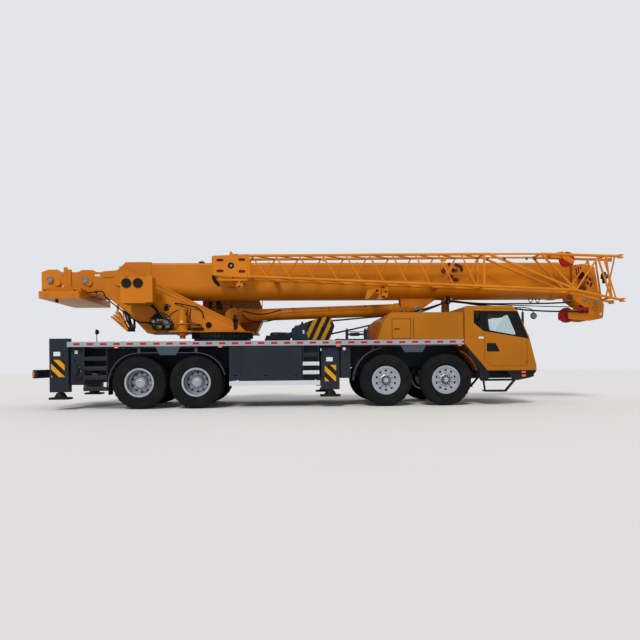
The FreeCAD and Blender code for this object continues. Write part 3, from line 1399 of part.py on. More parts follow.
def jib():
    near, far = jib_near_y, jib_far_y
    chords = jib_chords()
    top, bottom = chords[0], chords[1]
    parts = [bar(start, end, jib_chord_radius) for start, end in chords]
    bays = 10
    first, last = -1960.0, 3480.0
    pitch = (last - first) / bays
    for i in range(bays):
        x0, x1 = first + i * pitch, first + (i + 1) * pitch
        upper, lower = chord_height(top, x0), chord_height(bottom, x1 - pitch * 0.35)
        parts.append(bar((x0, near, upper), (x1 - pitch * 0.35, near, lower), jib_lace_radius))
        upper, lower = chord_height(top, x1), chord_height(bottom, x0 + pitch * 0.35)
        parts.append(bar((x1, far, upper), (x0 + pitch * 0.35, far, lower), jib_lace_radius))
        for points in (top, bottom):
            parts.append(bar((x0, near, chord_height(points, x0)),
                             (x1, far, chord_height(points, x1)), jib_lace_radius))
    for y in (near, far):
        parts.append(bar((3480.0, y, chord_height(top, 3480.0)),
                         (3480.0, y, chord_height(bottom, 3480.0)), jib_post_radius))
        parts.append(bar((3600.0, y, 3540.0), (5690.0, y, 2700.0), jib_leg_radius))
    for x in (first, 3480.0):
        for points in (top, bottom):
            z = chord_height(points, x)
            parts.append(bar((x, near, z), (x, far, z), jib_cross_radius))
    box = []
    for y0, y1 in ((near - 30.0, near - 4.0), (far + 4.0, far + 30.0)):
        plate = side_plate([(-2860.0, 3040.0, 40.0), (-2860.0, 3490.0, 40.0),
                            (-2000.0, 3530.0, 40.0), (-2000.0, 2980.0, 40.0)], y0, y1)
        cuts = [shaft_y(-2430.0, 3265.0, 75.0, y0 - 1.0, y1 + 1.0)]
        for x, z in ((-2680.0, 3390.0), (-2180.0, 3400.0), (-2680.0, 3140.0), (-2180.0, 3130.0)):
            cuts.append(side_plate([(x - 80.0, z - 32.0, 31.0), (x + 80.0, z - 32.0, 31.0),
                                    (x + 80.0, z + 32.0, 31.0), (x - 80.0, z + 32.0, 31.0)],
                                   y0 - 1.0, y1 + 1.0))
        box.append(plate.cut(cuts))
    for x, z in ((-2820.0, 3090.0), (-2820.0, 3450.0), (-2430.0, 3060.0), (-2430.0, 3470.0)):
        box.append(bar((x, near - 25.0, z), (x, far + 25.0, z), 26.0))
    parts += box
    knee, heel = (4850.0, 3545.0), (5690.0, 2690.0)
    top_tip, low_tip = (6760.0, 3490.0), (6800.0, 2450.0)
    brace = jib_lace_radius + 6.0
    for y in (near, far):
        for start, end, radius in (
                (knee, top_tip, jib_chord_radius), (heel, low_tip, jib_leg_radius),
                (knee, heel, jib_post_radius), (heel, (6260.0, 3505.0), brace),
                ((6210.0, 3505.0), (6540.0, 2510.0), brace), ((6420.0, 3500.0), (6560.0, 2505.0), brace),
                (knee, (3560.0, 3540.0), brace)):
            parts.append(bar((start[0], y, start[1]), (end[0], y, end[1]), radius))
        for x, z in (top_tip, low_tip):
            parts += jib_fork(x, y, z)
    for x, z in (knee, heel, (6420.0, 3500.0), (6560.0, 2505.0)):
        parts.append(bar((x, near, z), (x, far, z), jib_cross_radius))
    for y0, y1 in ((near, far), (far, near)):
        parts.append(bar((6640.0, y0, 3494.0), (6660.0, y1, 2490.0), jib_lace_radius))
    cheek = [(5080.0, 3560.0), (5460.0, 3645.0, 40.0), (5790.0, 3400.0, 50.0),
             (5690.0, 3330.0, 50.0), (5470.0, 3470.0, 30.0), (5080.0, 3500.0)]
    low, high = jib_sheave_y - jib_sheave_half_width, jib_sheave_y + jib_sheave_half_width
    parts.append(side_plate(cheek, low - jib_cheek, low))
    parts.append(side_plate(cheek, high, high + jib_cheek))
    parts.append(shaft_y(jib_sheave_x, jib_sheave_z, jib_pin_radius, low - 30.0, high + 30.0))
    for x, z in ((5130.0, 3537.0), (5420.0, 3560.0)):
        parts.append(bar((x, near, z), (x, far, z), jib_cross_radius))
    carrier = []
    for x in (-1400.0, 2480.0):
        z = chord_height(bottom, x)
        carrier.append(block(x - 60.0, x + 60.0, far - 10.0, -boom_half_width - seat_gap,
                             z - 25.0, z + 35.0))
    return joined(parts + carrier)


def jib_sheave():
    """The guide sheave between the cheeks on the jib's base frame."""
    half, radius = jib_sheave_half_width - seat_gap, jib_sheave_radius
    bore = jib_pin_radius + seat_gap
    profile = [(-half, bore), (-half, radius), (-half + 12.0, radius), (0.0, radius - 26.0),
               (half - 12.0, radius), (half, radius), (half, bore)]
    return turned_y([(jib_sheave_y + y, r) for y, r in profile], jib_sheave_x, jib_sheave_z)


# Lift cylinder, along the line from its base pin to its rod's pin

cylinder_base = Vector(cylinder_base_x, 0.0, cylinder_base_z)
cylinder_span = Vector(rod_pin_x, 0.0, rod_pin_z) - cylinder_base
cylinder_length = cylinder_span.Length
cylinder_way = cylinder_span / cylinder_length


def along_cylinder(radius, from_distance, to_distance):
    start = cylinder_base + cylinder_way * from_distance
    return Part.makeCylinder(radius, to_distance - from_distance, start, cylinder_way)


def lift_barrel():
    gland_end = cylinder_length - 205.0
    tube = along_cylinder(barrel_radius, 300.0, gland_end)
    stout = Part.makeCone(200.0, barrel_radius, 500.0, cylinder_base + cylinder_way * 160.0,
                          cylinder_way)
    eye = shaft_y(cylinder_base_x, cylinder_base_z, 190.0, -cylinder_eye_half_width,
                  cylinder_eye_half_width)
    gland = along_cylinder(barrel_radius + 16.0, gland_end - 120.0, gland_end)
    whole = joined([tube, stout, eye, gland])
    bore = along_cylinder(barrel_bore_radius, 420.0, gland_end - 180.0)
    mouth = along_cylinder(rod_radius + seat_gap, gland_end - 200.0, gland_end + 5.0)
    pin = shaft_y(cylinder_base_x, cylinder_base_z, cylinder_pin_radius + seat_gap, -200.0, 200.0)
    slot = block(cylinder_base_x - 260.0, cylinder_base_x + 230.0, cylinder_eye_half_width,
                 260.0, cylinder_base_z - 260.0, cylinder_base_z + 260.0)
    return whole.cut([bore, mouth, pin, slot, mirrored(slot)])


def lift_rod():
    rod = along_cylinder(rod_radius, 440.0, cylinder_length - 60.0)
    piston = along_cylinder(barrel_bore_radius - seat_gap, 440.0, 560.0)
    eye = shaft_y(rod_pin_x, rod_pin_z, 100.0, -cylinder_eye_half_width, cylinder_eye_half_width)
    flats = []
    for side in (-1.0, 1.0):
        y0, y1 = sorted((side * cylinder_eye_half_width, side * 200.0))
        flats.append(block(rod_pin_x - 110.0, rod_pin_x + 200.0, y0, y1, rod_pin_z - 200.0,
                           rod_pin_z + 200.0))
    return joined([rod, piston, eye]).cut(flats)


def hook_block():
    """Sheaves between two cheeks, lying in the deck's cradle, with the hook at the rear."""
    cheek = [
        (-760.0, hook_bottom), (-740.0, 1990.0, 60.0), (-320.0, 2127.0, 90.0),
        (-101.0, 2126.0, 90.0), (-4.0, 1907.0, 90.0), (-126.0, hook_bottom, 60.0),
    ]
    half, plate = hook_half_width, hook_cheek
    parts = [side_plate(cheek, hook_y - half, hook_y - half + plate),
             side_plate(cheek, hook_y + half - plate, hook_y + half)]
    parts.append(shaft_y(-310.0, 1850.0, 45.0, hook_y - half - 20.0, hook_y + half + 20.0))
    for lane in (-62.0, 0.0, 62.0):
        y = hook_y + lane
        parts.append(turned_y([(y - 21.0, 0.0), (y - 21.0, 215.0), (y - 12.0, 215.0),
                               (y, 190.0), (y + 12.0, 215.0), (y + 21.0, 215.0), (y + 21.0, 0.0)],
                              -310.0, 1850.0))
    parts.append(block(-780.0, -640.0, hook_y - half + 5.0, hook_y + half - 5.0, 1640.0, 1800.0))
    parts.append(bar((-900.0, hook_y, 1720.0), (-700.0, hook_y, 1720.0), 42.0))
    hook = side_plate([
        (-880.0, 1760.0), (-880.0, 1680.0), (-960.0, 1640.0), (-990.0, 1700.0),
        (-985.0, 1800.0), (-930.0, 1870.0), (-850.0, 1880.0), (-850.0, 1935.0),
        (-960.0, 1935.0, 30.0), (-1022.0, 1820.0, 60.0), (-1022.0, hook_bottom, 60.0),
        (-860.0, hook_bottom, 30.0), (-800.0, 1690.0),
    ], hook_y - 36.0, hook_y + 36.0)
    parts.append(hook)
    return joined(parts)


os.makedirs("parts", exist_ok=True)
for number, x, steered in axle_table:
    for side, word in ((1, "left"), (-1, "right")):
        name = "_" + str(number) + "_" + word
        tyres = [tyre(x, wheel_centre_y, side)]
        if steered:
            save("knuckle" + name, knuckle(x, side))
            save("rim" + name, single_rim(x, side))
        else:
            tyres.append(tyre(x, wheel_centre_y - twin_spacing, side))
            save("rims" + name, twin_rim(x, side))
        save(("tyre" if steered else "tyres") + name, Part.makeCompound(tyres))

for name, x, jack_top in outrigger_table:
    for side, word, lane in ((1, "left", 1), (-1, "right", -1)):
        save("outrigger_beam_" + name + "_" + word, outrigger_beam(x, jack_top, side, lane))
        save("outrigger_jack_" + name + "_" + word, outrigger_jack(x, jack_top, side))

carrier_pieces = [
    ("chassis_frame", chassis_frame), ("deck", deck), ("slewing_ring", slewing_ring),
    ("side_equipment", lambda: Part.makeCompound(side_equipment())),
    ("fenders", lambda: Part.makeCompound(fenders())),
    ("engine_hood", engine_hood),
    ("engine_block", lambda: block(1450.0, 2650.0, -400.0, 400.0, deck_top, 2080.0)),
    ("cab_shell", cab_shell),
    ("cab_glazing", lambda: Part.makeCompound(cab_glazing())),
    ("cab_interior", lambda: Part.makeCompound(cab_interior())),
    ("cab_fittings", cab_fittings),
    ("cab_door_left", lambda: cab_door(1)),
    ("cab_door_right", lambda: cab_door(-1)),
]
upper_pieces = [
    ("turntable", turntable), ("counterweight", counterweight),
    ("winch_drums", lambda: Part.makeCompound(winch_drums())),
    ("upper_cab", upper_cab),
    ("upper_cab_glazing", lambda: Part.makeCompound(upper_cab_glazing())),
    ("control_box", control_box), ("lift_barrel", lift_barrel), ("lift_rod", lift_rod),
    ("boom_base", boom_base), ("boom_tip", boom_tip),
    ("head_sheaves", lambda: Part.makeCompound(head_sheaves())),
    ("jib", lambda: Part.makeCompound([jib(), jib_sheave()])), ("hook_block", hook_block),
]
for name, make in carrier_pieces + upper_pieces:
    save(name, make())
for number in range(2, boom_section_count):
    save("boom_section_" + str(number), inner_section(number))

axles = [steered_axle(x) if steered else drive_axle(x) for number, x, steered in axle_table]
save("axles", Part.makeCompound(axles))
springs = [bogie_spring(side) for side in (-1, 1)]
springs += [steered_spring(x, side) for number, x, steered in axle_table if steered
            for side in (-1, 1)]
save("leaf_springs", Part.makeCompound(springs))
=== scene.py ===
import json
import math

import bpy
from mathutils import Matrix, Vector

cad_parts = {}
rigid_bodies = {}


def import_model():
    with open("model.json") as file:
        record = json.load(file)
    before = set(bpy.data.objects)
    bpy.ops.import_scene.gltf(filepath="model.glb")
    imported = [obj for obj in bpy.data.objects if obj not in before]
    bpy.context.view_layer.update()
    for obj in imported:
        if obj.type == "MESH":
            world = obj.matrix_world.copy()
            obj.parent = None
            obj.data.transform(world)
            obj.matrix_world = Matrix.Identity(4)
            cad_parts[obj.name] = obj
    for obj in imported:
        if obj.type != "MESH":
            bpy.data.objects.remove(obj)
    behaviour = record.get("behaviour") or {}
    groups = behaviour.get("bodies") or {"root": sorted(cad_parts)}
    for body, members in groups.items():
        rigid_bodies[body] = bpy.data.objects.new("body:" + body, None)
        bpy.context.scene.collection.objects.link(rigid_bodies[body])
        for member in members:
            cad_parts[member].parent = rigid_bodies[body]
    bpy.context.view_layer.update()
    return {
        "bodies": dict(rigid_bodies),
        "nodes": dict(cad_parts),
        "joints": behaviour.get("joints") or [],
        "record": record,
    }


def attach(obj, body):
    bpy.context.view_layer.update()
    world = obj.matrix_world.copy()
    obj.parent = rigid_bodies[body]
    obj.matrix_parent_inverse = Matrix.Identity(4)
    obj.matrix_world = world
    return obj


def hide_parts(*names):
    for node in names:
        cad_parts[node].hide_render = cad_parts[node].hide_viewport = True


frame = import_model()
print("frame loaded:", len(frame["nodes"]), "nodes")

# Shader maths is written as expressions on these wrapped sockets


class Sock:
    def __init__(self, shop, socket):
        self.shop, self.socket = shop, socket

    def maths(self, operation, *others):
        return self.shop.node("ShaderNodeMath", {"operation": operation}, dict(enumerate(others)))

    def __add__(self, other):
        return self.maths("ADD", self, other)

    def __radd__(self, other):
        return self.maths("ADD", other, self)

    def __sub__(self, other):
        return self.maths("SUBTRACT", self, other)

    def __rsub__(self, other):
        return self.maths("SUBTRACT", other, self)

    def __mul__(self, other):
        return self.maths("MULTIPLY", self, other)

    def __rmul__(self, other):
        return self.maths("MULTIPLY", other, self)

    def __truediv__(self, other):
        return self.maths("DIVIDE", self, other)

    def above(self, edge):
        return self.maths("GREATER_THAN", self, edge)

    def below(self, edge):
        return self.maths("LESS_THAN", self, edge)

    def between(self, low, high):
        return self.above(low) * self.below(high)

    def size(self):
        return self.maths("ABSOLUTE", self)

    def wave(self, pitch):  # runs from 0 to 1 again and again
        return self.maths("FRACT", self / pitch)

    def ease(self, low, high):
        return self.shop.node("ShaderNodeMapRange", {"interpolation_type": "SMOOTHSTEP"},
                              {0: self, 1: low, 2: high, 3: 0.0, 4: 1.0})


class PaintShop:
    def __init__(self, name):
        self.material = bpy.data.materials.new(name)
        self.material.use_nodes = True
        self.tree = self.material.node_tree
        self.tree.nodes.clear()
        self.coords = None

    def node(self, kind, settings=None, values=None, out=0):
        made = self.tree.nodes.new(kind)
        for key, value in (settings or {}).items():
            setattr(made, key, value)
        for key, value in (values or {}).items():
            if isinstance(value, Sock):
                self.tree.links.new(value.socket, made.inputs[key])
            else:
                made.inputs[key].default_value = value
        return Sock(self, made.outputs[out])

    def place(self):
        if self.coords is None:
            self.coords = self.node("ShaderNodeTexCoord", out=3)
        return self.coords

    def axes(self):
        split = self.node("ShaderNodeSeparateXYZ", values={0: self.place()})
        return [Sock(self, split.socket.node.outputs[i]) for i in range(3)]

    def noise(self, scale, detail=3.0, stretch=(1.0, 1.0, 1.0)):
        mapped = self.node("ShaderNodeMapping", values={0: self.place(), 3: stretch})
        return self.node("ShaderNodeTexNoise", values={"Vector": mapped, "Scale": scale, "Detail": detail})

    def mix(self, share, first, second):
        return self.node("ShaderNodeMix", {"data_type": "RGBA"}, {0: share, 6: first, 7: second}, 2)

    def bump(self, height, strength, distance):
        return self.node("ShaderNodeBump", values={"Height": height, "Strength": strength,
                                                   "Distance": distance})

    def finish(self, **sockets):
        shader = self.node("ShaderNodeBsdfPrincipled",
                           values={key.replace("_", " "): value for key, value in sockets.items()})
        output = self.tree.nodes.new("ShaderNodeOutputMaterial")
        self.tree.links.new(shader.socket, output.inputs[0])
        return self.material


def shade(red, green, blue):  # a colour as it looks on screen, 0 to 255
    return tuple((c / 255.0 / 12.92 if c < 10.3 else ((c / 255.0 + 0.055) / 1.055) ** 2.4)
                 for c in (red, green, blue)) + (1.0,)


def insideOf(x, z, corners):  # corners run clockwise, and the shape has no dents
    share = None
    for (x0, z0), (x1, z1) in zip(corners, corners[1:] + corners[:1]):
        run, rise = x1 - x0, z1 - z0
        part = (x * rise - z * run).above(x0 * rise - z0 * run)
        share = part if share is None else share * part
    return share


def ringOf(x, z, centre, inner, outer):
    dx, dz = x - centre[0], z - centre[1]
    return (dx * dx + dz * dz).between(inner * inner if inner else -1.0, outer * outer)


paintTones = {
    "cabYellow": (shade(167, 100, 3), shade(153, 90, 2)),
    "boomYellow": (shade(197, 115, 4), shade(179, 102, 3)),
    "jibYellow": (shade(203, 120, 7), shade(187, 108, 5)),
    "hookYellow": (shade(172, 120, 9), shade(152, 103, 7)),
    "slate": (shade(29, 37, 48), shade(22, 29, 39)),
    "fenderSlate": (shade(66, 76, 90), shade(54, 63, 76)),
    "deckGrey": (shade(152, 157, 161), shade(138, 144, 149)),
    "sheaveRed": (shade(168, 28, 36), shade(140, 20, 28)),
    "rimSilver": (shade(148, 156, 166), shade(126, 135, 146)),
    "black": shade(11, 13, 17), "jet": shade(6, 7, 9), "white": shade(206, 208, 210),
    "dashRed": shade(172, 18, 27), "hazard": shade(206, 142, 10), "silver": shade(188, 196, 204),
    "dustDark": shade(100, 70, 30), "dustPale": shade(112, 108, 100), "brown": shade(128, 68, 12),
    "deckDark": shade(86, 91, 96), "boltGrey": shade(92, 96, 100), "skirt": shade(60, 69, 82),
}


def enamel(name, tones, dust=0.06, gloss=0.42, coat=0.05, marks=(), dirt="dustDark", peel=0.1):
    # Sprayed enamel: slow changes of tone, fine orange peel, and road dust that gathers low down
    shop = PaintShop(name)
    x, y, z = shop.axes()
    broad = shop.noise(0.7, 4.0)
    streaks = shop.noise(2.2, 5.0, (1.0, 1.0, 0.18))
    speck = shop.noise(24.0, 5.0)
    colour = shop.mix(broad.ease(0.32, 0.68), tones[0], tones[1])
    for tone, where in marks:
        colour = shop.mix(where(x, y, z), colour, paintTones[tone])
    low = 1.0 - z.ease(0.2, 2.4)
    grime = (streaks.ease(0.48, 0.85) * 0.6 + low * speck.ease(0.3, 0.8)) * dust
    colour = shop.mix(grime, colour, paintTones[dirt])
    rough = grime * 0.5 + gloss + broad * 0.08
    grain = shop.noise(120.0, 2.0)
    return shop.finish(Base_Color=colour, Roughness=rough, Coat_Weight=coat * (1.0 - grime),
                       Coat_Roughness=0.2, Specular_IOR_Level=0.17,
                       Normal=shop.bump(grain, peel, 0.002))


def rubber(name, tone, dust):
    shop = PaintShop(name)
    cloud = shop.noise(3.5, 6.0)
    grain = shop.noise(70.0, 4.0)
    dirt = cloud.ease(0.42, 0.78) * dust + grain.ease(0.5, 0.85) * dust * 0.5
    colour = shop.mix(dirt, tone, paintTones["dustPale"])
    return shop.finish(Base_Color=colour, Roughness=0.8 + grain * 0.14, Specular_IOR_Level=0.2,
                       Normal=shop.bump(grain, 0.35, 0.003))


def metal(name, tone, rough, metallic, scratch=0.3):
    shop = PaintShop(name)
    cloud = shop.noise(2.0, 5.0)
    brushed = shop.noise(70.0, 3.0, (0.15, 1.0, 1.0))
    worn = tuple(c * 0.7 for c in tone[:3]) + (1.0,)
    colour = shop.mix(cloud.ease(0.3, 0.7) * 0.5, tone, worn)
    return shop.finish(Base_Color=colour, Metallic=metallic - cloud * 0.1,
                       Roughness=rough + brushed * 0.12, Normal=shop.bump(brushed, scratch, 0.0006))


def plastic(name, tone, rough=0.55, marks=()):
    shop = PaintShop(name)
    x, y, z = shop.axes()
    grain = shop.noise(180.0, 2.0)
    cloud = shop.noise(2.5, 4.0)
    colour = tone
    for other, where in marks:
        colour = shop.mix(where(x, y, z), colour, paintTones[other])
    colour = shop.mix(cloud.ease(0.45, 0.8) * 0.08, colour, paintTones["dustPale"])
    return shop.finish(Base_Color=colour, Roughness=rough + cloud * 0.12, Specular_IOR_Level=0.2,
                       Normal=shop.bump(grain, 0.2, 0.0012))


def glass(name, tone, clear):
    shop = PaintShop(name)
    cloud = shop.noise(1.4, 3.0)
    return shop.finish(Base_Color=tone, Roughness=0.03 + cloud * 0.04, Transmission_Weight=clear,
                       IOR=1.12, Alpha=1.0 - cloud * 0.2 * clear)


def lens(name, tone, glow):
    shop = PaintShop(name)
    x, y, z = shop.axes()
    ribs = (y * 1.0 + x).wave(0.012) + z.wave(0.012)
    cloud = shop.noise(30.0, 2.0)
    deep = tuple(c * 0.6 for c in tone[:3]) + (1.0,)
    return shop.finish(Base_Color=shop.mix(cloud, tone, deep), Roughness=0.18 + cloud * 0.1,
                       Emission_Color=tone, Emission_Strength=glow, Coat_Weight=0.5,
                       Normal=shop.bump(ribs, 0.4, 0.002))


def rope(name):  # strands wind round the rope, which runs roughly along the crane
    shop = PaintShop(name)
    x, y, z = shop.axes()
    strands = (x * 1.0 + z * 2.0 + y * 2.0).wave(0.02)
    grain = shop.noise(60.0, 3.0)
    colour = shop.mix(grain.ease(0.35, 0.7), shade(30, 31, 34), shade(54, 53, 52))
    return shop.finish(Base_Color=colour, Roughness=0.55 + grain * 0.2, Metallic=0.35,
                       Specular_IOR_Level=0.3, Normal=shop.bump(strands, 0.6, 0.003))


# Where the painted marks lie, in metres
marksAt = {
    "windowSurround": [(3.174, 2.200), (4.216, 2.184), (4.478, 1.541), (3.410, 1.722), (3.174, 1.910)],
    "handleRecess": [(3.481, 1.443), (3.694, 1.441), (3.789, 1.243), (3.481, 1.245)],
    "dashPitch": 0.295, "dashShare": 0.49, "dashShift": 0.051, "dashHeights": (1.454, 1.506),
    "redDisc": (5.584, 3.456), "boxDiscs": [(-4.818, 2.879), (-4.557, 2.879)],
}
yellowMarks = [
    ("jet", lambda x, y, z: insideOf(x, z, marksAt["windowSurround"]) * y.size().above(1.3)),
    ("jet", lambda x, y, z: insideOf(x, z, marksAt["handleRecess"]) * y.size().above(1.3)),
    ("jet", lambda x, y, z: y.size().below(1.335) * z.between(1.545, 2.2)
     * (x + z * 0.4548).above(5.19)),
]
deckMarks = [
    ("skirt", lambda x, y, z: y.size().above(1.3) * z.below(1.4195)),
    ("dashRed", lambda x, y, z: y.size().above(1.39) * z.between(*marksAt["dashHeights"])
     * (x + marksAt["dashShift"]).wave(marksAt["dashPitch"]).below(marksAt["dashShare"])),
    ("deckDark", lambda x, y, z: z.above(1.5345) * x.below(2.75)),
    ("brown", lambda x, y, z: z.above(1.54) * x.above(2.75)),
    ("black", lambda x, y, z: z.above(1.536) * x.below(0.0) * y.below(-0.27)),
]
slateMarks = [
    ("silver", lambda x, y, z: z.below(0.62) * y.size().above(1.3) * x.between(-2.5, -0.4)),
]
linerMarks = [("brown", lambda x, y, z: x.between(2.86, 3.4) * z.between(0.82, 1.37)),
              ("jet", lambda x, y, z: x.between(2.86, 3.4) * z.below(0.82))]


def hazardMarks(centre, half, low, high):
    return [
        ("hazard", lambda x, y, z: y.size().above(1.0) * (x - centre).size().below(half)
         * z.between(low, high) * (x + z).wave(0.265).below(0.5)),
        ("black", lambda x, y, z: y.size().above(1.0) * (x - centre).size().below(half)
         * z.between(low, high) * (x + z).wave(0.265).above(0.5)),
        ("white", lambda x, y, z: y.size().above(1.0) * z.between(high + 0.085, high + 0.18)
         * (x - centre + 0.02).size().below(0.075)),
    ]


hookMarks = [
    ("jet", lambda x, y, z: x.below(-0.68)),
    ("black", lambda x, y, z: x.above(-0.68) * (x - z * 0.48 + 1.415).wave(0.201).below(0.51)),
    ("black", lambda x, y, z: x.above(-0.085)),
]
jibMarks = [("dashRed", lambda x, y, z: ringOf(x, z, marksAt["redDisc"], 0.0, 0.183)
             * (y + 1.0).size().below(0.0375))]
boxMarks = [("jet", lambda x, y, z, place=place: ringOf(x, z, place, 0.0, 0.114) * y.below(-1.202))
            for place in marksAt["boxDiscs"]]
tableMarks = [
    ("black", lambda x, y, z: x.between(-4.36, -4.12) * y.between(-0.80, -0.47) * z.between(1.84, 2.14)),
    ("boltGrey", lambda x, y, z: ringOf(x, z, (-4.005, 2.01), 0.0, 0.108) * y.below(-0.482)),
]

boomTones = paintTones["boomYellow"]
looks = {
    "cab_yellow": enamel("cabYellowEnamel", paintTones["cabYellow"], 0.07, marks=yellowMarks),
    "boom_yellow": enamel("boomYellowEnamel", boomTones, 0.06),
    "chassis_slate": enamel("chassisSlateEnamel", paintTones["slate"], 0.04, 0.5, 0.05,
                            slateMarks, "dustPale"),
    "deck_grey": enamel("deckGreyEnamel", paintTones["deckGrey"], 0.06, 0.5, 0.0, deckMarks,
                        "dustPale"),
    "sheave_red": enamel("sheaveRedEnamel", paintTones["sheaveRed"], 0.1, 0.5, 0.05),
    "rim_silver": metal("rimSilverPaint", shade(168, 175, 184), 0.32, 0.72, 0.15),
    "tyre_rubber": rubber("tyreRubber", shade(9, 10, 13), 0.045),
    "black_parts": plastic("blackParts", paintTones["black"]),
    "rod_chrome": metal("rodChrome", shade(205, 208, 212), 0.14, 1.0, 0.1),
    "glazing": glass("glazing", shade(206, 226, 228), 1.0),
    "interior_grey": plastic("interiorGrey", shade(66, 68, 72), 0.7),
    "engine_grey": plastic("engineGrey", shade(70, 72, 74), 0.6),
}
nodeLooks = {
    "fenders": enamel("fenderSlateEnamel", paintTones["fenderSlate"], 0.05, 0.5, 0.05, linerMarks,
                      "dustPale"),
    "hook_block": enamel("hookStripes", paintTones["hookYellow"], 0.06, marks=hookMarks),
    "jib": enamel("jibYellowEnamel", paintTones["jibYellow"], 0.05, marks=jibMarks),
    "control_box": enamel("tankYellowEnamel", boomTones, 0.06, marks=boxMarks),
    "turntable": enamel("tableYellowEnamel", boomTones, 0.1, marks=tableMarks),
    "upper_cab_glazing": glass("upperGlazing", shade(150, 112, 70), 0.8),
}
for end, centre, half, low, high in (("front", -0.165, 0.13, 0.59, 0.965),
                                     ("rear", -6.335, 0.15, 0.745, 1.135)):
    striped = enamel(end + "OutriggerSlate", paintTones["slate"], 0.04, 0.5, 0.05,
                     hazardMarks(centre, half, low, high), "dustPale")
    for word in ("left", "right"):
        nodeLooks["outrigger_beam_" + end + "_" + word] = striped
extra = {
    "rope": rope("steelRope"),
    "hose": rubber("hoseRubber", shade(11, 12, 14), 0.04),
    "bolt": metal("boltSteel", shade(128, 132, 136), 0.38, 0.8),
    "bright": metal("brightSteel", shade(196, 200, 206), 0.25, 0.85, 0.15),
    "redPaint": enamel("redDetailEnamel", (shade(120, 14, 20), shade(96, 10, 16)), 0.04),
    "jibMark": enamel("jibDetailEnamel", paintTones["jibYellow"], 0.05),
    "whitePaint": enamel("whiteTreadEnamel", (shade(206, 208, 210), shade(188, 191, 194)), 0.08, 0.5,
                         0.0, (), "dustPale"),
    "cast": metal("castSteel", shade(62, 60, 54), 0.6, 0.5),
    "olive": plastic("oliveValve", shade(112, 98, 50), 0.5),
    "amber": lens("amberLens", shade(226, 104, 18), 0.15),
    "redLens": lens("redLens", shade(180, 22, 26), 0.15),
    "clearLens": lens("clearLens", shade(206, 210, 212), 0.1),
    "mirror": metal("mirrorGlass", shade(200, 205, 210), 0.05, 1.0, 0.0),
    # a flat grey tone on the mirror's face as a painted reflection
    "mirrorGrey": plastic("mirrorGrey", shade(86, 90, 96), 0.25),
    "plate": plastic("blankPlate", shade(202, 204, 206), 0.45),
    # dark parts and painted shade: real dark seams and parts, and flat black sheets put in holes, slots and
    # openings where only shade shows
    "void": plastic("darkPartsAndPaintedShadeFill", paintTones["jet"], 0.8),
    # dark orange-brown panel paint, also used as painted shade in the gap between the latch arm and its plate
    "brown": enamel("brownPanelAndPaintedShade", (paintTones["brown"], shade(104, 56, 12)), 0.1, 0.5, 0.0),
    "boomMark": enamel("boomDetailEnamel", boomTones, 0.06),
    "slateMark": enamel("slateDetailEnamel", paintTones["slate"], 0.04, 0.5, 0.05, (), "dustPale"),
}
slotOf = {"rope": "black_parts", "hose": "black_parts", "bolt": "black_parts", "cast": "black_parts",
          "olive": "engine_grey", "amber": "glazing", "redLens": "glazing", "clearLens": "glazing",
          "mirror": "glazing", "mirrorGrey": "glazing", "plate": "deck_grey", "void": "black_parts", "brown": "boom_yellow",
          "boomMark": "boom_yellow", "slateMark": "chassis_slate", "bright": "rim_silver",
          "redPaint": "sheave_red", "jibMark": "boom_yellow", "whitePaint": "deck_grey"}

slotOfNode = {part["node"]: part.get("material_slot") for part in frame["record"]["subparts"]}
for nodeName, piece in frame["nodes"].items():
    slotName = slotOfNode.get(nodeName, "chassis_slate")
    piece.data.materials.clear()
    piece.data.materials.append(nodeLooks.get(nodeName, looks[slotName]))
print("materials made:", len(looks) + len(nodeLooks) + len(extra))

# Modelling helpers: each starts from a primitive and leaves a mesh with its place in it


def deselectAll():
    bpy.ops.object.select_all(action="DESELECT")


def pick(*pieces):
    deselectAll()
    for piece in pieces:
        piece.select_set(True)
    bpy.context.view_layer.objects.active = pieces[0]


def settle():
    bpy.ops.object.transform_apply(location=True, rotation=True, scale=True)
    return bpy.context.object


def modify(piece, kind, **settings):
    pick(piece)
    bpy.ops.object.modifier_add(type=kind)
    made = piece.modifiers[-1]
    for key, value in settings.items():
        setattr(made, key, value)
    bpy.ops.object.modifier_apply(modifier=made.name)


def faceOutwards(piece, merge=0.00001):
    pick(piece)
    bpy.ops.object.mode_set(mode="EDIT")
    bpy.ops.mesh.select_all(action="SELECT")
    bpy.ops.mesh.remove_doubles(threshold=merge)
    bpy.ops.mesh.normals_make_consistent(inside=False)
    bpy.ops.object.mode_set(mode="OBJECT")


def paint(piece, look):
    made = extra.get(look) or looks.get(look) or nodeLooks[look]
    piece.data.materials.clear()
    piece.data.materials.append(made)
    piece["look"] = look
    return piece


def boxPiece(low, high, look, edge=0.004):
    deselectAll()
    bpy.ops.mesh.primitive_cube_add(size=1.0, location=[(a + b) / 2.0 for a, b in zip(low, high)])
    piece = bpy.context.object
    piece.scale = [b - a for a, b in zip(low, high)]
    settle()
    modify(piece, "BEVEL", width=edge, segments=2, limit_method="ANGLE")
    return paint(piece, look)


def platePiece(outline, near, far, look, edge=0.003):  # an outline in x and z, drawn out along y
    deselectAll()
    bpy.ops.mesh.primitive_circle_add(vertices=len(outline), radius=1.0, fill_type="NGON")
    piece = bpy.context.object
    for point, (x, z) in zip(piece.data.vertices, outline):
        point.co = (x, near, z)
    bpy.ops.object.mode_set(mode="EDIT")
    bpy.ops.mesh.select_all(action="SELECT")
    bpy.ops.mesh.extrude_region_move(TRANSFORM_OT_translate={"value": (0.0, far - near, 0.0)})
    bpy.ops.object.mode_set(mode="OBJECT")
    faceOutwards(piece)
    if edge:
        modify(piece, "BEVEL", width=edge, segments=2, limit_method="ANGLE")
    return paint(piece, look)


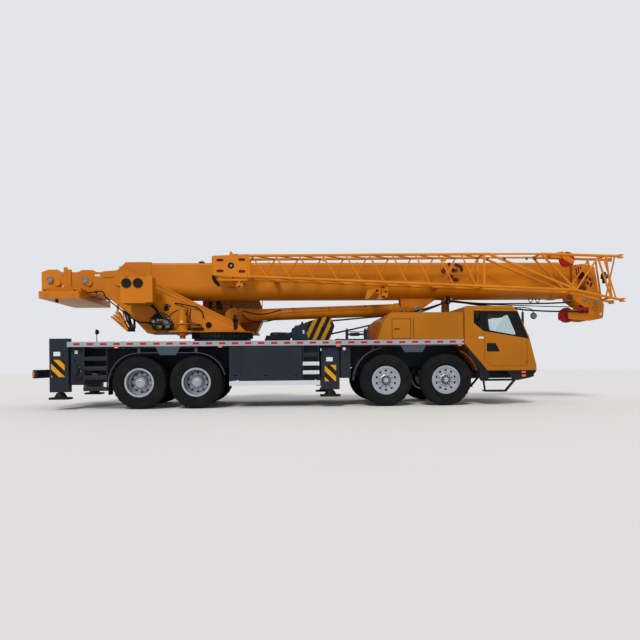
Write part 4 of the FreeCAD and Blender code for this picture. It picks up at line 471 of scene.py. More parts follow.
def turnedPiece(profile, centre, look, axis="y", steps=32, bend=35.0):
    # a closed profile of radius and reach along the axis, spun once round
    deselectAll()
    bpy.ops.mesh.primitive_circle_add(vertices=len(profile), radius=1.0, fill_type="NOTHING")
    piece = bpy.context.object
    across = {"x": (0, 0, 1), "y": (0, 0, 1), "z": (1, 0, 0)}[axis]
    along = {"x": (1, 0, 0), "y": (0, 1, 0), "z": (0, 0, 1)}[axis]
    for point, (radius, reach) in zip(piece.data.vertices, profile):
        point.co = Vector(centre) + Vector(across) * radius + Vector(along) * reach
    bpy.ops.object.mode_set(mode="EDIT")
    bpy.ops.mesh.select_all(action="SELECT")
    bpy.ops.mesh.spin(steps=steps, angle=math.radians(360.0), center=centre, axis=along)
    bpy.ops.object.mode_set(mode="OBJECT")
    faceOutwards(piece)
    pick(piece)
    bpy.ops.object.shade_smooth_by_angle(angle=math.radians(bend))
    return paint(piece, look)


def pinPiece(centre, radius, reach, look, axis="y", steps=24, chamfer=0.12):
    # a short shaft with chamfered ends, from the centre along the axis
    cut = radius * chamfer
    way = 1.0 if reach > 0.0 else -1.0
    profile = [(0.0, 0.0), (radius - cut, 0.0), (radius, way * cut), (radius, reach - way * cut),
               (radius - cut, reach), (0.0, reach)]
    return turnedPiece(profile, centre, look, axis, steps)


def boltPiece(centre, radius, reach, look="bolt", axis="y"):
    deselectAll()
    turn = {"y": (math.radians(90.0), 0.0, 0.0), "z": (0.0, 0.0, 0.0),
            "x": (0.0, math.radians(90.0), 0.0)}[axis]
    middle = Vector(centre) + Vector({"x": (1, 0, 0), "y": (0, 1, 0), "z": (0, 0, 1)}[axis]) * reach / 2.0
    bpy.ops.mesh.primitive_cylinder_add(vertices=6, radius=radius, depth=abs(reach), location=middle,
                                        rotation=turn)
    piece = settle()
    modify(piece, "BEVEL", width=radius * 0.18, segments=1, limit_method="ANGLE")
    return paint(piece, look)


def tubePiece(points, radius, look, smooth=True, ring=2):
    deselectAll()
    bpy.ops.curve.primitive_nurbs_path_add()
    piece = bpy.context.object
    curve = piece.data
    curve.splines.clear()
    line = curve.splines.new("NURBS" if smooth else "POLY")
    line.points.add(len(points) - 1)
    for point, place in zip(line.points, points):
        point.co = (*place, 1.0)
    if smooth:
        line.order_u = 3
        line.use_endpoint_u = True
    line.resolution_u = 6
    curve.dimensions = "3D"
    curve.bevel_depth = radius
    curve.bevel_resolution = ring
    curve.use_fill_caps = True
    piece.location = (0.0, 0.0, 0.0)
    pick(piece)
    bpy.ops.object.convert(target="MESH")
    piece = settle()
    faceOutwards(piece)
    pick(piece)
    bpy.ops.object.shade_smooth_by_angle(angle=math.radians(40.0))
    return paint(piece, look)


def copyOf(piece, move=(0.0, 0.0, 0.0)):
    pick(piece)
    bpy.ops.object.duplicate(linked=False)
    made = bpy.context.object
    bpy.ops.transform.translate(value=move)
    return settle()


def mirrorOf(piece):
    made = copyOf(piece)
    pick(made)
    made.scale = (1.0, -1.0, 1.0)
    settle()
    faceOutwards(made)
    return made


def ringOfCopies(piece, count, centre, axis=(0.0, 1.0, 0.0)):
    pick(piece)
    bpy.ops.object.mode_set(mode="EDIT")
    bpy.ops.mesh.select_all(action="SELECT")
    bpy.ops.mesh.spin(steps=count - 1, dupli=True, angle=math.radians(360.0 * (count - 1) / count),
                      center=centre, axis=axis)
    bpy.ops.object.mode_set(mode="OBJECT")
    return piece


def joinAs(name, pieces, body, replaces=()):
    slotName = slotOf.get(pieces[0]["look"], pieces[0]["look"])
    pick(*pieces)
    if len(pieces) > 1:
        bpy.ops.object.join()
    piece = bpy.context.object
    piece.name = name
    piece.data.name = name
    del piece["look"]
    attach(piece, body)
    slotName in slotNames
    if replaces:
        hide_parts(*replaces)
    return piece


slotNames = set(slotOfNode.values())

wheelWork = {
    "height": 0.6, "outer": 1.2225, "twin": 0.355, "tyreSteps": 90, "lugDepth": 0.013,
    "wheels": [("1", 2.527, True), ("2", 1.123, True), ("3", -3.235, False), ("4", -4.515, False)],
    "tyreHalf": [(0.600, 0.0), (0.600, 0.016), (0.586, 0.020), (0.586, 0.028), (0.600, 0.032),
                 (0.600, 0.062), (0.586, 0.067), (0.586, 0.075), (0.600, 0.080), (0.600, 0.1155),
                 (0.592, 0.130), (0.560, 0.1455), (0.545, 0.1500), (0.530, 0.1520), (0.500, 0.1555),
                 (0.494, 0.1575), (0.478, 0.1575), (0.472, 0.1560), (0.435, 0.1570),
                 (0.400, 0.1530), (0.394, 0.1550), (0.384, 0.1540), (0.378, 0.1500),
                 (0.354, 0.1395), (0.338, 0.1080), (0.306, 0.1075)],
    "frontNuts": (0.155, 1.287, 1.319), "rearNuts": (0.187, 1.056, 1.090),
    "frontHub": (0.082, 1.338, 1.362), "rearHub": (0.088, 1.228, 1.248), "nutRadius": 0.0165,
    "holeShadeDisc": (0.206, 0.287), "holeRing": 0.225, "holeReach": (1.290, 1.3005),
}


def makeTyre():
    height = wheelWork["height"]
    half = wheelWork["tyreHalf"]
    profile = half + [(r, -y) for r, y in reversed(half[1:])]
    tyre = turnedPiece(profile, (0.0, 0.0, height), "tyre_rubber", "y", wheelWork["tyreSteps"])
    step = 2.0 * math.pi / wheelWork["tyreSteps"]
    for point in tyre.data.vertices:  # every third ring is cut back between the tread's lugs
        away = math.hypot(point.co.x, point.co.z - height)
        turn = round(math.atan2(point.co.x, point.co.z - height) / step)
        shift = 0 if point.co.y > 0.0 else 1
        if away > 0.553 and abs(point.co.y) > 0.06 and (turn + shift) % 3 == 0:
            scale = (away - wheelWork["lugDepth"]) / away
            point.co.x *= scale
            point.co.z = height + (point.co.z - height) * scale
    return tyre


def makeNuts(x, side, steered):
    height = wheelWork["height"]
    radius, near, far = wheelWork["frontNuts" if steered else "rearNuts"]
    nut = boltPiece((x, side * near, height + radius), wheelWork["nutRadius"], side * (far - near))
    stud = pinPiece((x, side * near, height + radius), 0.008, side * (far - near + 0.008), "bolt",
                    steps=8)
    rings = [ringOfCopies(nut, 10, (x, 0.0, height)), ringOfCopies(stud, 10, (x, 0.0, height))]
    radius, near, far = wheelWork["frontHub" if steered else "rearHub"]
    bolt = boltPiece((x, side * near, height + radius), 0.013, side * (far - near), "bright")
    rings.append(ringOfCopies(bolt, 10, (x, 0.0, height)))
    if steered:  # dark patches at the hand holes as painted shade, and a gasket under the cap's bright nuts
        level, reach = height + wheelWork["holeRing"], wheelWork["holeReach"]
        rim = [(x + 0.033 * math.sin(math.radians(30.0 * i + 15.0)),
                level + 0.0245 * math.cos(math.radians(30.0 * i + 15.0))) for i in range(12)]
        hole = platePiece(rim, side * reach[0], side * reach[1], "void", 0.0)
        rings.append(ringOfCopies(hole, 10, (x, 0.0, height)))
        rings.append(turnedPiece([(0.060, side * 1.347), (0.102, side * 1.333), (0.106, side * 1.337),
                                  (0.062, side * 1.352)], (x, 0.0, height), "void"))
        rings.append(turnedPiece([(0.0, side * 1.346), (0.052, side * 1.346), (0.046, side * 1.360),
                                  (0.0, side * 1.364)], (x, 0.0, height), "bright"))
    else:  # the ring between the hub's cap and its flange
        face = side * 1.232
        rings.append(turnedPiece([(0.045, face), (0.062, face), (0.062, face + side * 0.008),
                                  (0.045, face + side * 0.012)], (x, 0.0, height), "bright"))
    small, large = wheelWork["holeShadeDisc"]  # a dark disc behind the hand holes, painted shade seen through them
    for centre in [wheelWork["outer"]] if steered else [wheelWork["outer"] - wheelWork["twin"]]:
        back = side * (centre - 0.035 if steered else centre + 0.02)
        rings.append(turnedPiece([(small, back), (large, back), (large, back + side * 0.005),
                                  (small, back + side * 0.005)], (x, 0.0, height), "void"))
    reach = side * (wheelWork["outer"] + 0.10)
    rings.append(tubePiece([(x + 0.20, side * (near - 0.03), height + 0.02),
                            (x + 0.235, side * (near - 0.015), height + 0.02),
                            (x + 0.27, reach - side * 0.03, height + 0.02)], 0.004, "bolt"))
    return rings


firstTyre = makeTyre()
for number, x, steered in wheelWork["wheels"]:
    for word, side in (("left", 1.0), ("right", -1.0)):
        body = "wheel_" + number + "_" + word
        tyres = [copyOf(firstTyre, (x, side * wheelWork["outer"], 0.0))]
        if not steered:
            inner = wheelWork["outer"] - wheelWork["twin"]
            tyres.append(copyOf(firstTyre, (x, side * inner, 0.0)))
        stem = "tyre_" if steered else "tyres_"
        joinAs("treaded_" + stem + number + "_" + word, tyres, body, [stem + number + "_" + word])
        joinAs("nuts_" + number + "_" + word, makeNuts(x, side, steered), body)
pick(firstTyre)
bpy.ops.object.delete()
print("wheels dressed:", len(wheelWork["wheels"]) * 2)

carrierWork = {
    "markerAt": [-5.007, -2.680, 0.012, 2.840], "markerSize": (0.055, 0.022, 0.034),
    "lockerDoors": [(-2.470, -2.225), (-2.205, -1.075), (-1.055, -0.835)],
    "lockerHeights": (0.655, 1.400), "lockerFace": 1.385,
    "paleLamps": [(-0.398, -0.374, 1.290, 1.352), (0.118, 0.182, 1.302, 1.364)],
    "flapX": (-5.192, -5.172), "flapY": (1.06, 1.385), "flapZ": (0.33, 0.66),
    "beamLamps": [(0.62, "redLens"), (0.86, "amber"), (1.06, "clearLens"), (1.23, "redLens")],
    "hoodSeams": [1.265, 1.695, 1.766], "hoodFace": 1.38,
    "railPosts": [0.262, 0.700], "railY": -0.9,
    "rearPlankX": (-5.744, -5.204), "rearPlanks": [0.424, 0.680, 0.884, 1.104], "plankTall": 0.092,
    "stepPlankX": (-0.804, -0.426),
    "stepPlanks": [(0.757, "whitePaint"), (0.957, "whitePaint"), (1.157, "slateMark")],
}


def makeSideTrim(side):
    face = carrierWork["lockerFace"]

    def spanY(a, b):
        return sorted((side * a, side * b))

    def block(x0, x1, a, b, z0, z1, look, edge=0.004):
        y0, y1 = spanY(a, b)
        return boxPiece((x0, y0, z0), (x1, y1, z1), look, edge)

    parts = []
    low, high = carrierWork["lockerHeights"]
    for x0, x1 in carrierWork["lockerDoors"]:
        parts.append(block(x0, x1, face - 0.010, face + 0.006, low, high, "slateMark", 0.005))
        parts.append(block(x0 + 0.03, x1 - 0.03, face + 0.002, face + 0.009, low + 0.03, high - 0.03,
                           "slateMark", 0.004))
        middle = (x0 + x1) / 2.0
        parts.append(block(middle - 0.045, middle + 0.045, face, face + 0.013, low + 0.07, low + 0.10,
                           "void", 0.003))
        for x in (x0 + 0.05, x1 - 0.05):
            parts.append(pinPiece((x - 0.03, side * (face + 0.006), high - 0.008), 0.007, 0.06,
                                  "black_parts", "x", 10))
    for x in carrierWork["markerAt"]:
        width, out, tall = carrierWork["markerSize"]
        parts.append(block(x - width, x + width, 1.392 - out, 1.392, 1.421 - tall - 0.008, 1.422,
                           "black_parts", 0.004))
        parts.append(block(x - width + 0.006, x + width - 0.006, 1.376, 1.398, 1.419 - tall, 1.413,
                           "amber", 0.006))
    x0, x1 = carrierWork["rearPlankX"]
    for z in carrierWork["rearPlanks"]:
        parts.append(block(x0, x1, 1.326, 1.386, z, z + carrierWork["plankTall"], "slateMark", 0.008))
    x0, x1 = carrierWork["stepPlankX"]
    for z, look in carrierWork["stepPlanks"]:
        parts.append(block(x0, x1, 1.258, 1.389, z, z + carrierWork["plankTall"] * 0.95, look, 0.006))
        for i in range(4):
            bar = z + 0.014 + 0.019 * i
            parts.append(block(x0 + 0.03, x1 - 0.03, 1.386, 1.392, bar, bar + 0.006, look, 0.001))
    for x0, x1, z0, z1 in carrierWork["paleLamps"]:
        parts.append(block(x0, x1, 1.370, 1.389, z0, z1, "clearLens", 0.006))
    x0, x1 = carrierWork["flapX"]
    z0, z1 = carrierWork["flapZ"]
    y0, y1 = carrierWork["flapY"]
    parts.append(block(x0, x1, y0, y1, z0, z1, "hose", 0.006))
    parts.append(block(x0 - 0.006, x1 + 0.006, y0 + 0.02, y1 - 0.02, z1 - 0.05, z1 - 0.01,
                       "black_parts", 0.003))
    return parts


for word, side in (("right", -1.0), ("left", 1.0)):
    joinAs("side_trim_" + word, makeSideTrim(side), "carrier")
print("carrier sides trimmed")


def makeRearLamps():
    parts = []
    for side in (-1.0, 1.0):
        for reach, look in carrierWork["beamLamps"]:
            y0, y1 = sorted((side * (reach - 0.075), side * (reach + 0.075)))
            parts.append(boxPiece((-6.886, y0 - 0.008, 0.748), (-6.862, y1 + 0.008, 0.880),
                                  "black_parts", 0.006))
            parts.append(boxPiece((-6.895, y0, 0.756), (-6.878, y1, 0.872), look, 0.010))
        y0, y1 = sorted((side * 1.325, side * 1.343))
        parts.append(boxPiece((-6.868, y0, 0.752), (-6.836, y1, 0.878), "amber", 0.006))
    for x in (-0.36, 0.36):
        parts.append(boxPiece((-6.884, x - 0.05, 0.77), (-6.864, x + 0.05, 0.86), "redLens", 0.012))
    parts.append(boxPiece((-6.880, -0.26, 0.755), (-6.866, 0.26, 0.875), "plate", 0.006))
    for side in (-1.0, 1.0):  # pale square work lamps in the recess before the rear outriggers
        y0, y1 = sorted((side * 1.25, side * 1.275))
        parts.append(boxPiece((-5.968, y0, 1.268), (-5.896, y1, 1.348), "clearLens", 0.010))
        z = 1.05
        for step in range(3):
            parts.append(pinPiece((-5.93 + 0.05 * step, side * 1.245, z - 0.09 * step), 0.016,
                                  side * 0.03, "bolt", steps=12))
        parts.append(tubePiece([(-5.98, side * 1.26, 1.12), (-5.90, side * 1.285, 1.00),
                                (-5.86, side * 1.275, 0.86), (-5.95, side * 1.262, 0.78)], 0.011,
                               "hose"))
        parts.append(boxPiece((-6.00, y0, 0.66), (-5.82, y1, 0.74), "black_parts", 0.008))
    lampX, lampY = -5.492, -1.2  # a round work lamp on its stalk at the deck's edge
    parts.append(tubePiece([(lampX, lampY, 1.53), (lampX, lampY, 1.60), (lampX, lampY, 1.71)], 0.009,
                           "black_parts"))
    parts.append(turnedPiece([(0.0, 0.050), (0.034, 0.046), (0.056, 0.020), (0.060, -0.012),
                              (0.052, -0.018), (0.0, -0.018)], (lampX, lampY, 1.762), "black_parts", "x"))
    parts.append(turnedPiece([(0.0, -0.040), (0.026, -0.038), (0.048, -0.026), (0.049, -0.012),
                              (0.0, -0.012)], (lampX, lampY, 1.762), "clearLens", "x"))
    return parts


joinAs("rear_lamps", makeRearLamps(), "carrier")
print("rear lamps made")


def makeHoodTrim():
    parts = []
    for side in (-1.0, 1.0):
        face = side * carrierWork["hoodFace"]
        y0, y1 = sorted((face - side * 0.004, face + side * 0.003))
        for x in carrierWork["hoodSeams"]:
            parts.append(boxPiece((x - 0.005, y0, 1.56), (x + 0.005, y1, 2.02), "void", 0.001))
        parts.append(boxPiece((1.265, y0, 2.014), (1.695, y1, 2.024), "void", 0.001))
        parts.append(boxPiece((1.265, y0, 1.556), (1.695, y1, 1.566), "void", 0.001))
        y2, y3 = sorted((face - side * 0.002, face + side * 0.012))
        parts.append(boxPiece((1.315, y2, 1.772), (1.440, y3, 1.796), "void", 0.006))
        for x in (1.80, 2.86):
            for z in (1.60, 1.98):
                parts.append(boltPiece((x, face - side * 0.002, z), 0.009, side * 0.010))
    return parts


joinAs("hood_seams", makeHoodTrim(), "carrier")

deckWork = {"domeX": (0.800, 1.000), "domeY": (-0.82, -0.30), "domeTop": 1.985}


def makeDeckTrim():
    parts = []
    y = carrierWork["railY"]
    for x in carrierWork["railPosts"]:  # the stops that carry the jib pins while it is swung over
        parts.append(boxPiece((x - 0.032, y - 0.032, 1.535), (x + 0.032, y + 0.032, 1.800), "black_parts",
                              0.008))
        parts.append(boxPiece((x - 0.065, y - 0.065, 1.535), (x + 0.065, y + 0.065, 1.556), "black_parts",
                              0.004))
        parts.append(pinPiece((x, y, 1.796), 0.026, 0.034, "bolt", "z", 16))
        for turn in (-1.0, 1.0):
            parts.append(boltPiece((x + 0.045 * turn, y - 0.045, 1.555), 0.010, 0.010, axis="z"))
    parts.append(pinPiece((carrierWork["railPosts"][0], y, 1.688), 0.024,
                          carrierWork["railPosts"][1] - carrierWork["railPosts"][0], "cast", "x", 18))
    parts.append(pinPiece((0.34, y, 1.688), 0.042, 0.22, "black_parts", "x", 20))
    parts.append(tubePiece([(0.262, y - 0.03, 1.73), (0.36, y - 0.05, 1.765), (0.52, y - 0.05, 1.735),
                            (0.62, y - 0.04, 1.76), (0.700, y - 0.03, 1.73)], 0.010, "hose"))
    parts.append(boxPiece((-0.03, -1.18, 1.535), (0.88, -0.66, 1.572), "slateMark", 0.008))
    for x in (0.02, 0.42, 0.83):
        parts.append(boltPiece((x, -1.14, 1.571), 0.012, 0.012, axis="z"))
    dome = deckWork
    outline = [(dome["domeX"][0], 1.535), (dome["domeX"][0], 1.76), (0.822, 1.86), (0.868, 1.94),
               (0.93, dome["domeTop"]), (1.08, dome["domeTop"] + 0.012), (1.08, 1.535)]
    parts.append(platePiece(outline, dome["domeY"][0], dome["domeY"][1], "brown", 0.012))
    # slots in the dome's face, drawn as dark strips of painted shade
    for i in range(5):
        z = 1.60 + 0.05 * i
        parts.append(boxPiece((0.794, -0.76, z), (0.806, -0.36, z + 0.018), "void", 0.004))
    parts.append(boxPiece((-1.66, -1.03, 1.60), (-1.62, -0.61, 1.655), "black_parts", 0.006))
    parts.append(tubePiece([(-1.50, -1.032, 1.56), (-1.45, -1.045, 1.60), (-1.34, -1.045, 1.60),
                            (-1.29, -1.032, 1.56)], 0.009, "black_parts"))
    return parts


joinAs("deck_fittings", makeDeckTrim(), "carrier")
print("deck fittings made")

cabWork = {
    "mirrorAt": (4.666, 1.22, 2.084), "mirrorRadius": 0.080,
    "grilleHeights": [1.06, 1.13, 1.20, 1.27, 1.34, 1.41], "grilleHalf": 0.62,
    "headlampY": (0.72, 1.24), "headlampZ": (0.665, 0.785), "wingLampZ": [(0.738, 0.782), (0.655, 0.700)],
    "tagAt": ((3.290, 1.548), (3.408, 1.594)),
    "archPlate": [(3.025, 1.385), (3.105, 1.362), (3.470, 0.872), (3.522, 0.812), (3.522, 0.612),
                  (3.318, 0.575), (3.300, 0.835), (3.225, 0.930), (3.085, 1.110), (3.030, 1.290)],
    "stepFrame": [(3.398, 0.600), (3.436, 0.322), (3.938, 0.322), (4.168, 0.590)],
}


def makeKerbMirror(side):
    mx, my, mz = cabWork["mirrorAt"]
    wide = cabWork["mirrorRadius"]
    y0, y1 = sorted((side * 1.27, side * 1.33))
    return [
        tubePiece([(4.195, side * 1.30, 2.262), (4.30, side * 1.335, 2.285), (4.52, side * 1.30, 2.262),
                   (4.640, side * 1.26, 2.215), (mx, side * (my - 0.012), mz + 0.05)], 0.011,
                  "black_parts"),
        boxPiece((4.16, y0, 2.235), (4.23, y1, 2.285), "black_parts", 0.008),
        turnedPiece([(0.0, -side * 0.035), (wide * 0.55, -side * 0.032), (wide * 0.9, -side * 0.014),
                     (wide, side * 0.004), (wide * 0.96, side * 0.012), (0.0, side * 0.012)],
                    (mx, side * my, mz), "black_parts", "y", 32),
        # the mirror's face, grey as a painted reflection
        turnedPiece([(0.0, side * 0.017), (wide * 0.45, side * 0.016), (wide * 0.74, side * 0.014),
                     (wide * 0.74, side * 0.008), (0.0, side * 0.008)], (mx, side * my, mz),
                    "mirrorGrey", "y", 32),
    ]


def makeCabTrim():
    parts = []
    for side in (-1.0, 1.0):
        if side < 0.0:  # the kerb side alone has a round mirror, on its own arm
            parts += makeKerbMirror(side)
        visor = [(3.700, 2.235), (3.950, 2.235), (3.950, 2.085), (3.925, 2.055), (3.760, 2.030),
                 (3.700, 2.070)]
        parts.append(platePiece(visor, side * 1.215, side * 1.185, "interior_grey", 0.008))
        y0, y1 = sorted((side * 1.325, side * 1.355))  # the long mirror behind the door's window
        parts.append(boxPiece((4.33, y0, 1.86), (4.385, y1, 2.17), "black_parts", 0.018))
        parts.append(boxPiece((4.327, y0 + 0.006, 1.875), (4.336, y1 - 0.006, 2.155), "mirror", 0.004))
        parts.append(tubePiece([(4.30, side * 1.30, 2.255), (4.34, side * 1.335, 2.25),
                                (4.355, side * 1.34, 2.17)], 0.009, "black_parts"))
        for z0, z1 in cabWork["wingLampZ"]:
            y0, y1 = sorted((side * 1.372, side * 1.394))
            parts.append(boxPiece((4.306, y0, z0), (4.402, y1, z1), "amber", 0.010))
        z0, z1 = cabWork["headlampZ"]
        y0, y1 = sorted((side * cabWork["headlampY"][0], side * cabWork["headlampY"][1]))
        parts.append(boxPiece((4.60, y0, z0), (4.668, y1, z1), "clearLens", 0.022))
        parts.append(boxPiece((4.59, y0 - 0.02, z0 - 0.02), (4.655, y1 + 0.02, z1 + 0.018), "void", 0.02))
        for i in range(2):
            middle = side * (0.86 + 0.24 * i)
            parts.append(turnedPiece([(0.0, 0.0), (0.050, 0.0), (0.052, 0.010), (0.044, 0.014),
                                      (0.0, 0.018)], (4.662, middle, (z0 + z1) / 2.0), "clearLens", "x", 24))
        y0, y1 = sorted((side * 1.384, side * 1.394))
        parts.append(boxPiece((3.500, y0, 1.296), (3.660, y1, 1.330), "black_parts", 0.008))
        (tagX0, tagZ0), (tagX1, tagZ1) = cabWork["tagAt"]
        parts.append(boxPiece((tagX0, y0, tagZ0), (tagX1, y1 - 0.004, tagZ1), "plate", 0.004))
        parts.append(platePiece(cabWork["archPlate"], side * 1.350, side * 1.384, "black_parts", 0.008))
        frame = [(x, side * 1.352, z) for x, z in cabWork["stepFrame"]]
        parts.append(tubePiece(frame, 0.020, "black_parts", False))
        y2, y3 = sorted((side * 1.17, side * 1.375))
        parts.append(boxPiece((3.40, y2, 0.566), (4.150, y3, 0.606), "black_parts", 0.008))
        y2, y3 = sorted((side * 1.24, side * 1.366))  # corner lamps on the cab's nose
        parts.append(boxPiece((4.520, y2, 1.030), (4.632, y3, 1.112), "clearLens", 0.020))
        parts.append(boxPiece((4.530, y2 + 0.01, 0.925), (4.640, y3 - 0.01, 0.965), "amber", 0.012))
    for z in cabWork["grilleHeights"]:
        half = cabWork["grilleHalf"]
        x = 4.603 + (1.155 - z) * 0.155 if z < 1.155 else 4.600 - (z - 1.155) * 0.42
        parts.append(boxPiece((x - 0.03, -half, z), (x + 0.012, half, z + 0.034), "black_parts", 0.008))
    for way in (-1.0, 1.0):  # wipers lie along the foot of the windscreen
        foot = (4.515, way * 0.16, 1.57)
        tip = (4.440, way * 0.78, 1.735)
        parts.append(tubePiece([foot, (4.520, way * 0.45, 1.62), tip], 0.009, "black_parts"))
        parts.append(tubePiece([(4.478, way * 0.42, 1.655), (4.452, way * 0.78, 1.712),
                                (4.430, way * 1.10, 1.760)], 0.007, "hose"))
        parts.append(pinPiece((4.500, way * 0.16, 1.562), 0.022, 0.03, "black_parts", "x", 16))
    parts.append(boxPiece((4.652, -0.26, 0.70), (4.664, 0.26, 0.80), "plate", 0.006))
    for y in (-0.42, 0.42):
        parts.append(pinPiece((4.64, y, 0.72), 0.032, 0.035, "cast", "x", 20))
    return parts


joinAs("cab_trim", makeCabTrim(), "carrier")
print("cab trim made")

upperWork = {
    "slopeEdge": [(-4.575, 3.114), (-4.590, 3.080), (-2.440, 1.996), (-2.412, 2.022)],
    "tailPlate": [(-6.478, 2.700), (-6.478, 3.352), (-6.384, 3.352), (-6.384, 2.700)],
    "slats": [((-5.349, 2.165), (-4.962, 1.818)), ((-5.292, 2.208), (-5.006, 1.926)),
              ((-5.232, 2.248), (-5.040, 2.046))],
    "slatSide": [(-5.255, 2.280), (-5.185, 2.290), (-5.075, 2.095), (-4.938, 1.852), (-4.980, 1.816),
                 (-5.100, 2.040)],
    "slatArms": [(-5.215, 2.240, 2.480), (-5.080, 2.070, 2.380)],
    "steps": (-0.600, -0.400),
    "pipes": [[(-5.030, -0.500, 2.300), (-5.020, -0.520, 2.140), (-4.945, -0.530, 1.990), (-4.870, -0.520, 1.850)],
              [(-4.990, -0.470, 2.270), (-4.960, -0.500, 2.110), (-4.890, -0.500, 1.970), (-4.820, -0.490, 1.860)],
              [(-4.940, -0.520, 2.230), (-4.910, -0.540, 2.060), (-4.860, -0.550, 1.940), (-4.790, -0.530, 1.895)]],
    "strap": [(-4.480, -0.530, 2.520), (-4.380, -0.560, 2.420), (-4.270, -0.610, 2.310), (-4.200, -0.700, 2.200)],
    "plateFace": 0.480, "tailBosses": [(-6.793, 3.053), (-5.968, 3.042)],
    "ringBolts": 40, "ringBoltRadius": 0.725, "ringBoltZ": 1.765,
    "drums": [(-6.620, 2.985, 0.175, 0.252), (-5.885, 2.985, 0.165, 0.240)], "drumHalf": 0.374,
    "ropeRadius": 0.009,
}


def makeTableTrim():
    parts = []
    face = upperWork["plateFace"]
    for side in (-1.0, 1.0):
        y = side * face
        for x, z in upperWork["tailBosses"]:
            parts.append(turnedPiece([(0.0, 0.046), (0.050, 0.046), (0.058, 0.058), (0.074, 0.058),
                                      (0.074, 0.040), (0.0, 0.040)], (x, side * 0.485, z), "bolt", "y", 28)
                         if side > 0.0 else
                         turnedPiece([(0.0, -0.046), (0.050, -0.046), (0.058, -0.058),
                                      (0.074, -0.058), (0.074, -0.040), (0.0, -0.040)],
                                     (x, side * 0.485, z), "bolt", "y", 28))
        parts.append(pinPiece((-6.525, y, 3.169), 0.030, side * 0.012, "bolt"))
        # dark discs round the pins are painted shade in their holes
        parts.append(pinPiece((-6.905, y, 2.815), 0.034, side * 0.008, "void"))
        parts.append(pinPiece((-6.860, y, 2.852), 0.024, side * 0.010, "plate"))
        parts.append(pinPiece((-6.540, y, 2.862), 0.036, side * 0.008, "void"))
        parts.append(pinPiece((-6.500, y, 2.886), 0.020, side * 0.010, "plate"))
        y0, y1 = sorted((y - side * 0.001, y + side * 0.006))
        parts.append(boxPiece((-5.745, y0, 3.135), (-5.622, y1, 3.185), "plate", 0.010))
        # a slot in the plate, drawn as a flat dark sheet of painted shade
        slot = [(-4.125, 2.432), (-4.105, 2.470), (-4.020, 2.468), (-3.955, 2.434), (-3.960, 2.400),
                (-4.020, 2.386), (-4.100, 2.396)]
        parts.append(platePiece(slot, y - side * 0.002, y + side * 0.004, "void", 0.001))
        parts.append(pinPiece((-4.090, y, 2.432), 0.018, side * 0.010, "bolt"))
        parts.append(pinPiece((-4.010, y, 2.428), 0.018, side * 0.010, "bolt"))
        # a dark disc of painted shade where a hole is
        parts.append(pinPiece((-3.051, y, 1.955), 0.074, side * 0.005, "void", steps=32))
        rib = [(-3.52, 2.34), (-3.50, 2.36), (-3.22, 2.30), (-3.20, 2.26), (-3.20, 1.99), (-3.23, 1.96),
               (-3.49, 1.96), (-3.52, 1.99)]
        parts.append(platePiece(rib, y - side * 0.002, y + side * 0.010, "boomMark", 0.006))
        parts.append(platePiece(upperWork["slopeEdge"], side * 0.488, side * 0.514, "boomMark", 0.004))
        parts.append(platePiece(upperWork["tailPlate"], side * 0.478, side * 0.502, "boomMark", 0.005))
        for x, z in ((-5.20, 3.10), (-5.20, 2.98), (-4.75, 3.00), (-4.90, 2.40), (-2.60, 1.86),
                     (-2.42, 1.86), (-4.30, 2.62), (-5.50, 3.16)):
            parts.append(boltPiece((x, y - side * 0.002, z), 0.012, side * 0.012))
    for i in range(upperWork["ringBolts"]):
        turn = 2.0 * math.pi * (i + 0.5) / upperWork["ringBolts"]
        reach = upperWork["ringBoltRadius"]
        x, y = -2.77 + reach * math.cos(turn), reach * math.sin(turn)
        if abs(y) > 0.50:
            parts.append(boltPiece((x, y, upperWork["ringBoltZ"] + 0.006), 0.017, 0.024, "boomMark", "z"))
    return parts


joinAs("table_details", makeTableTrim(), "superstructure")
print("turntable details made")


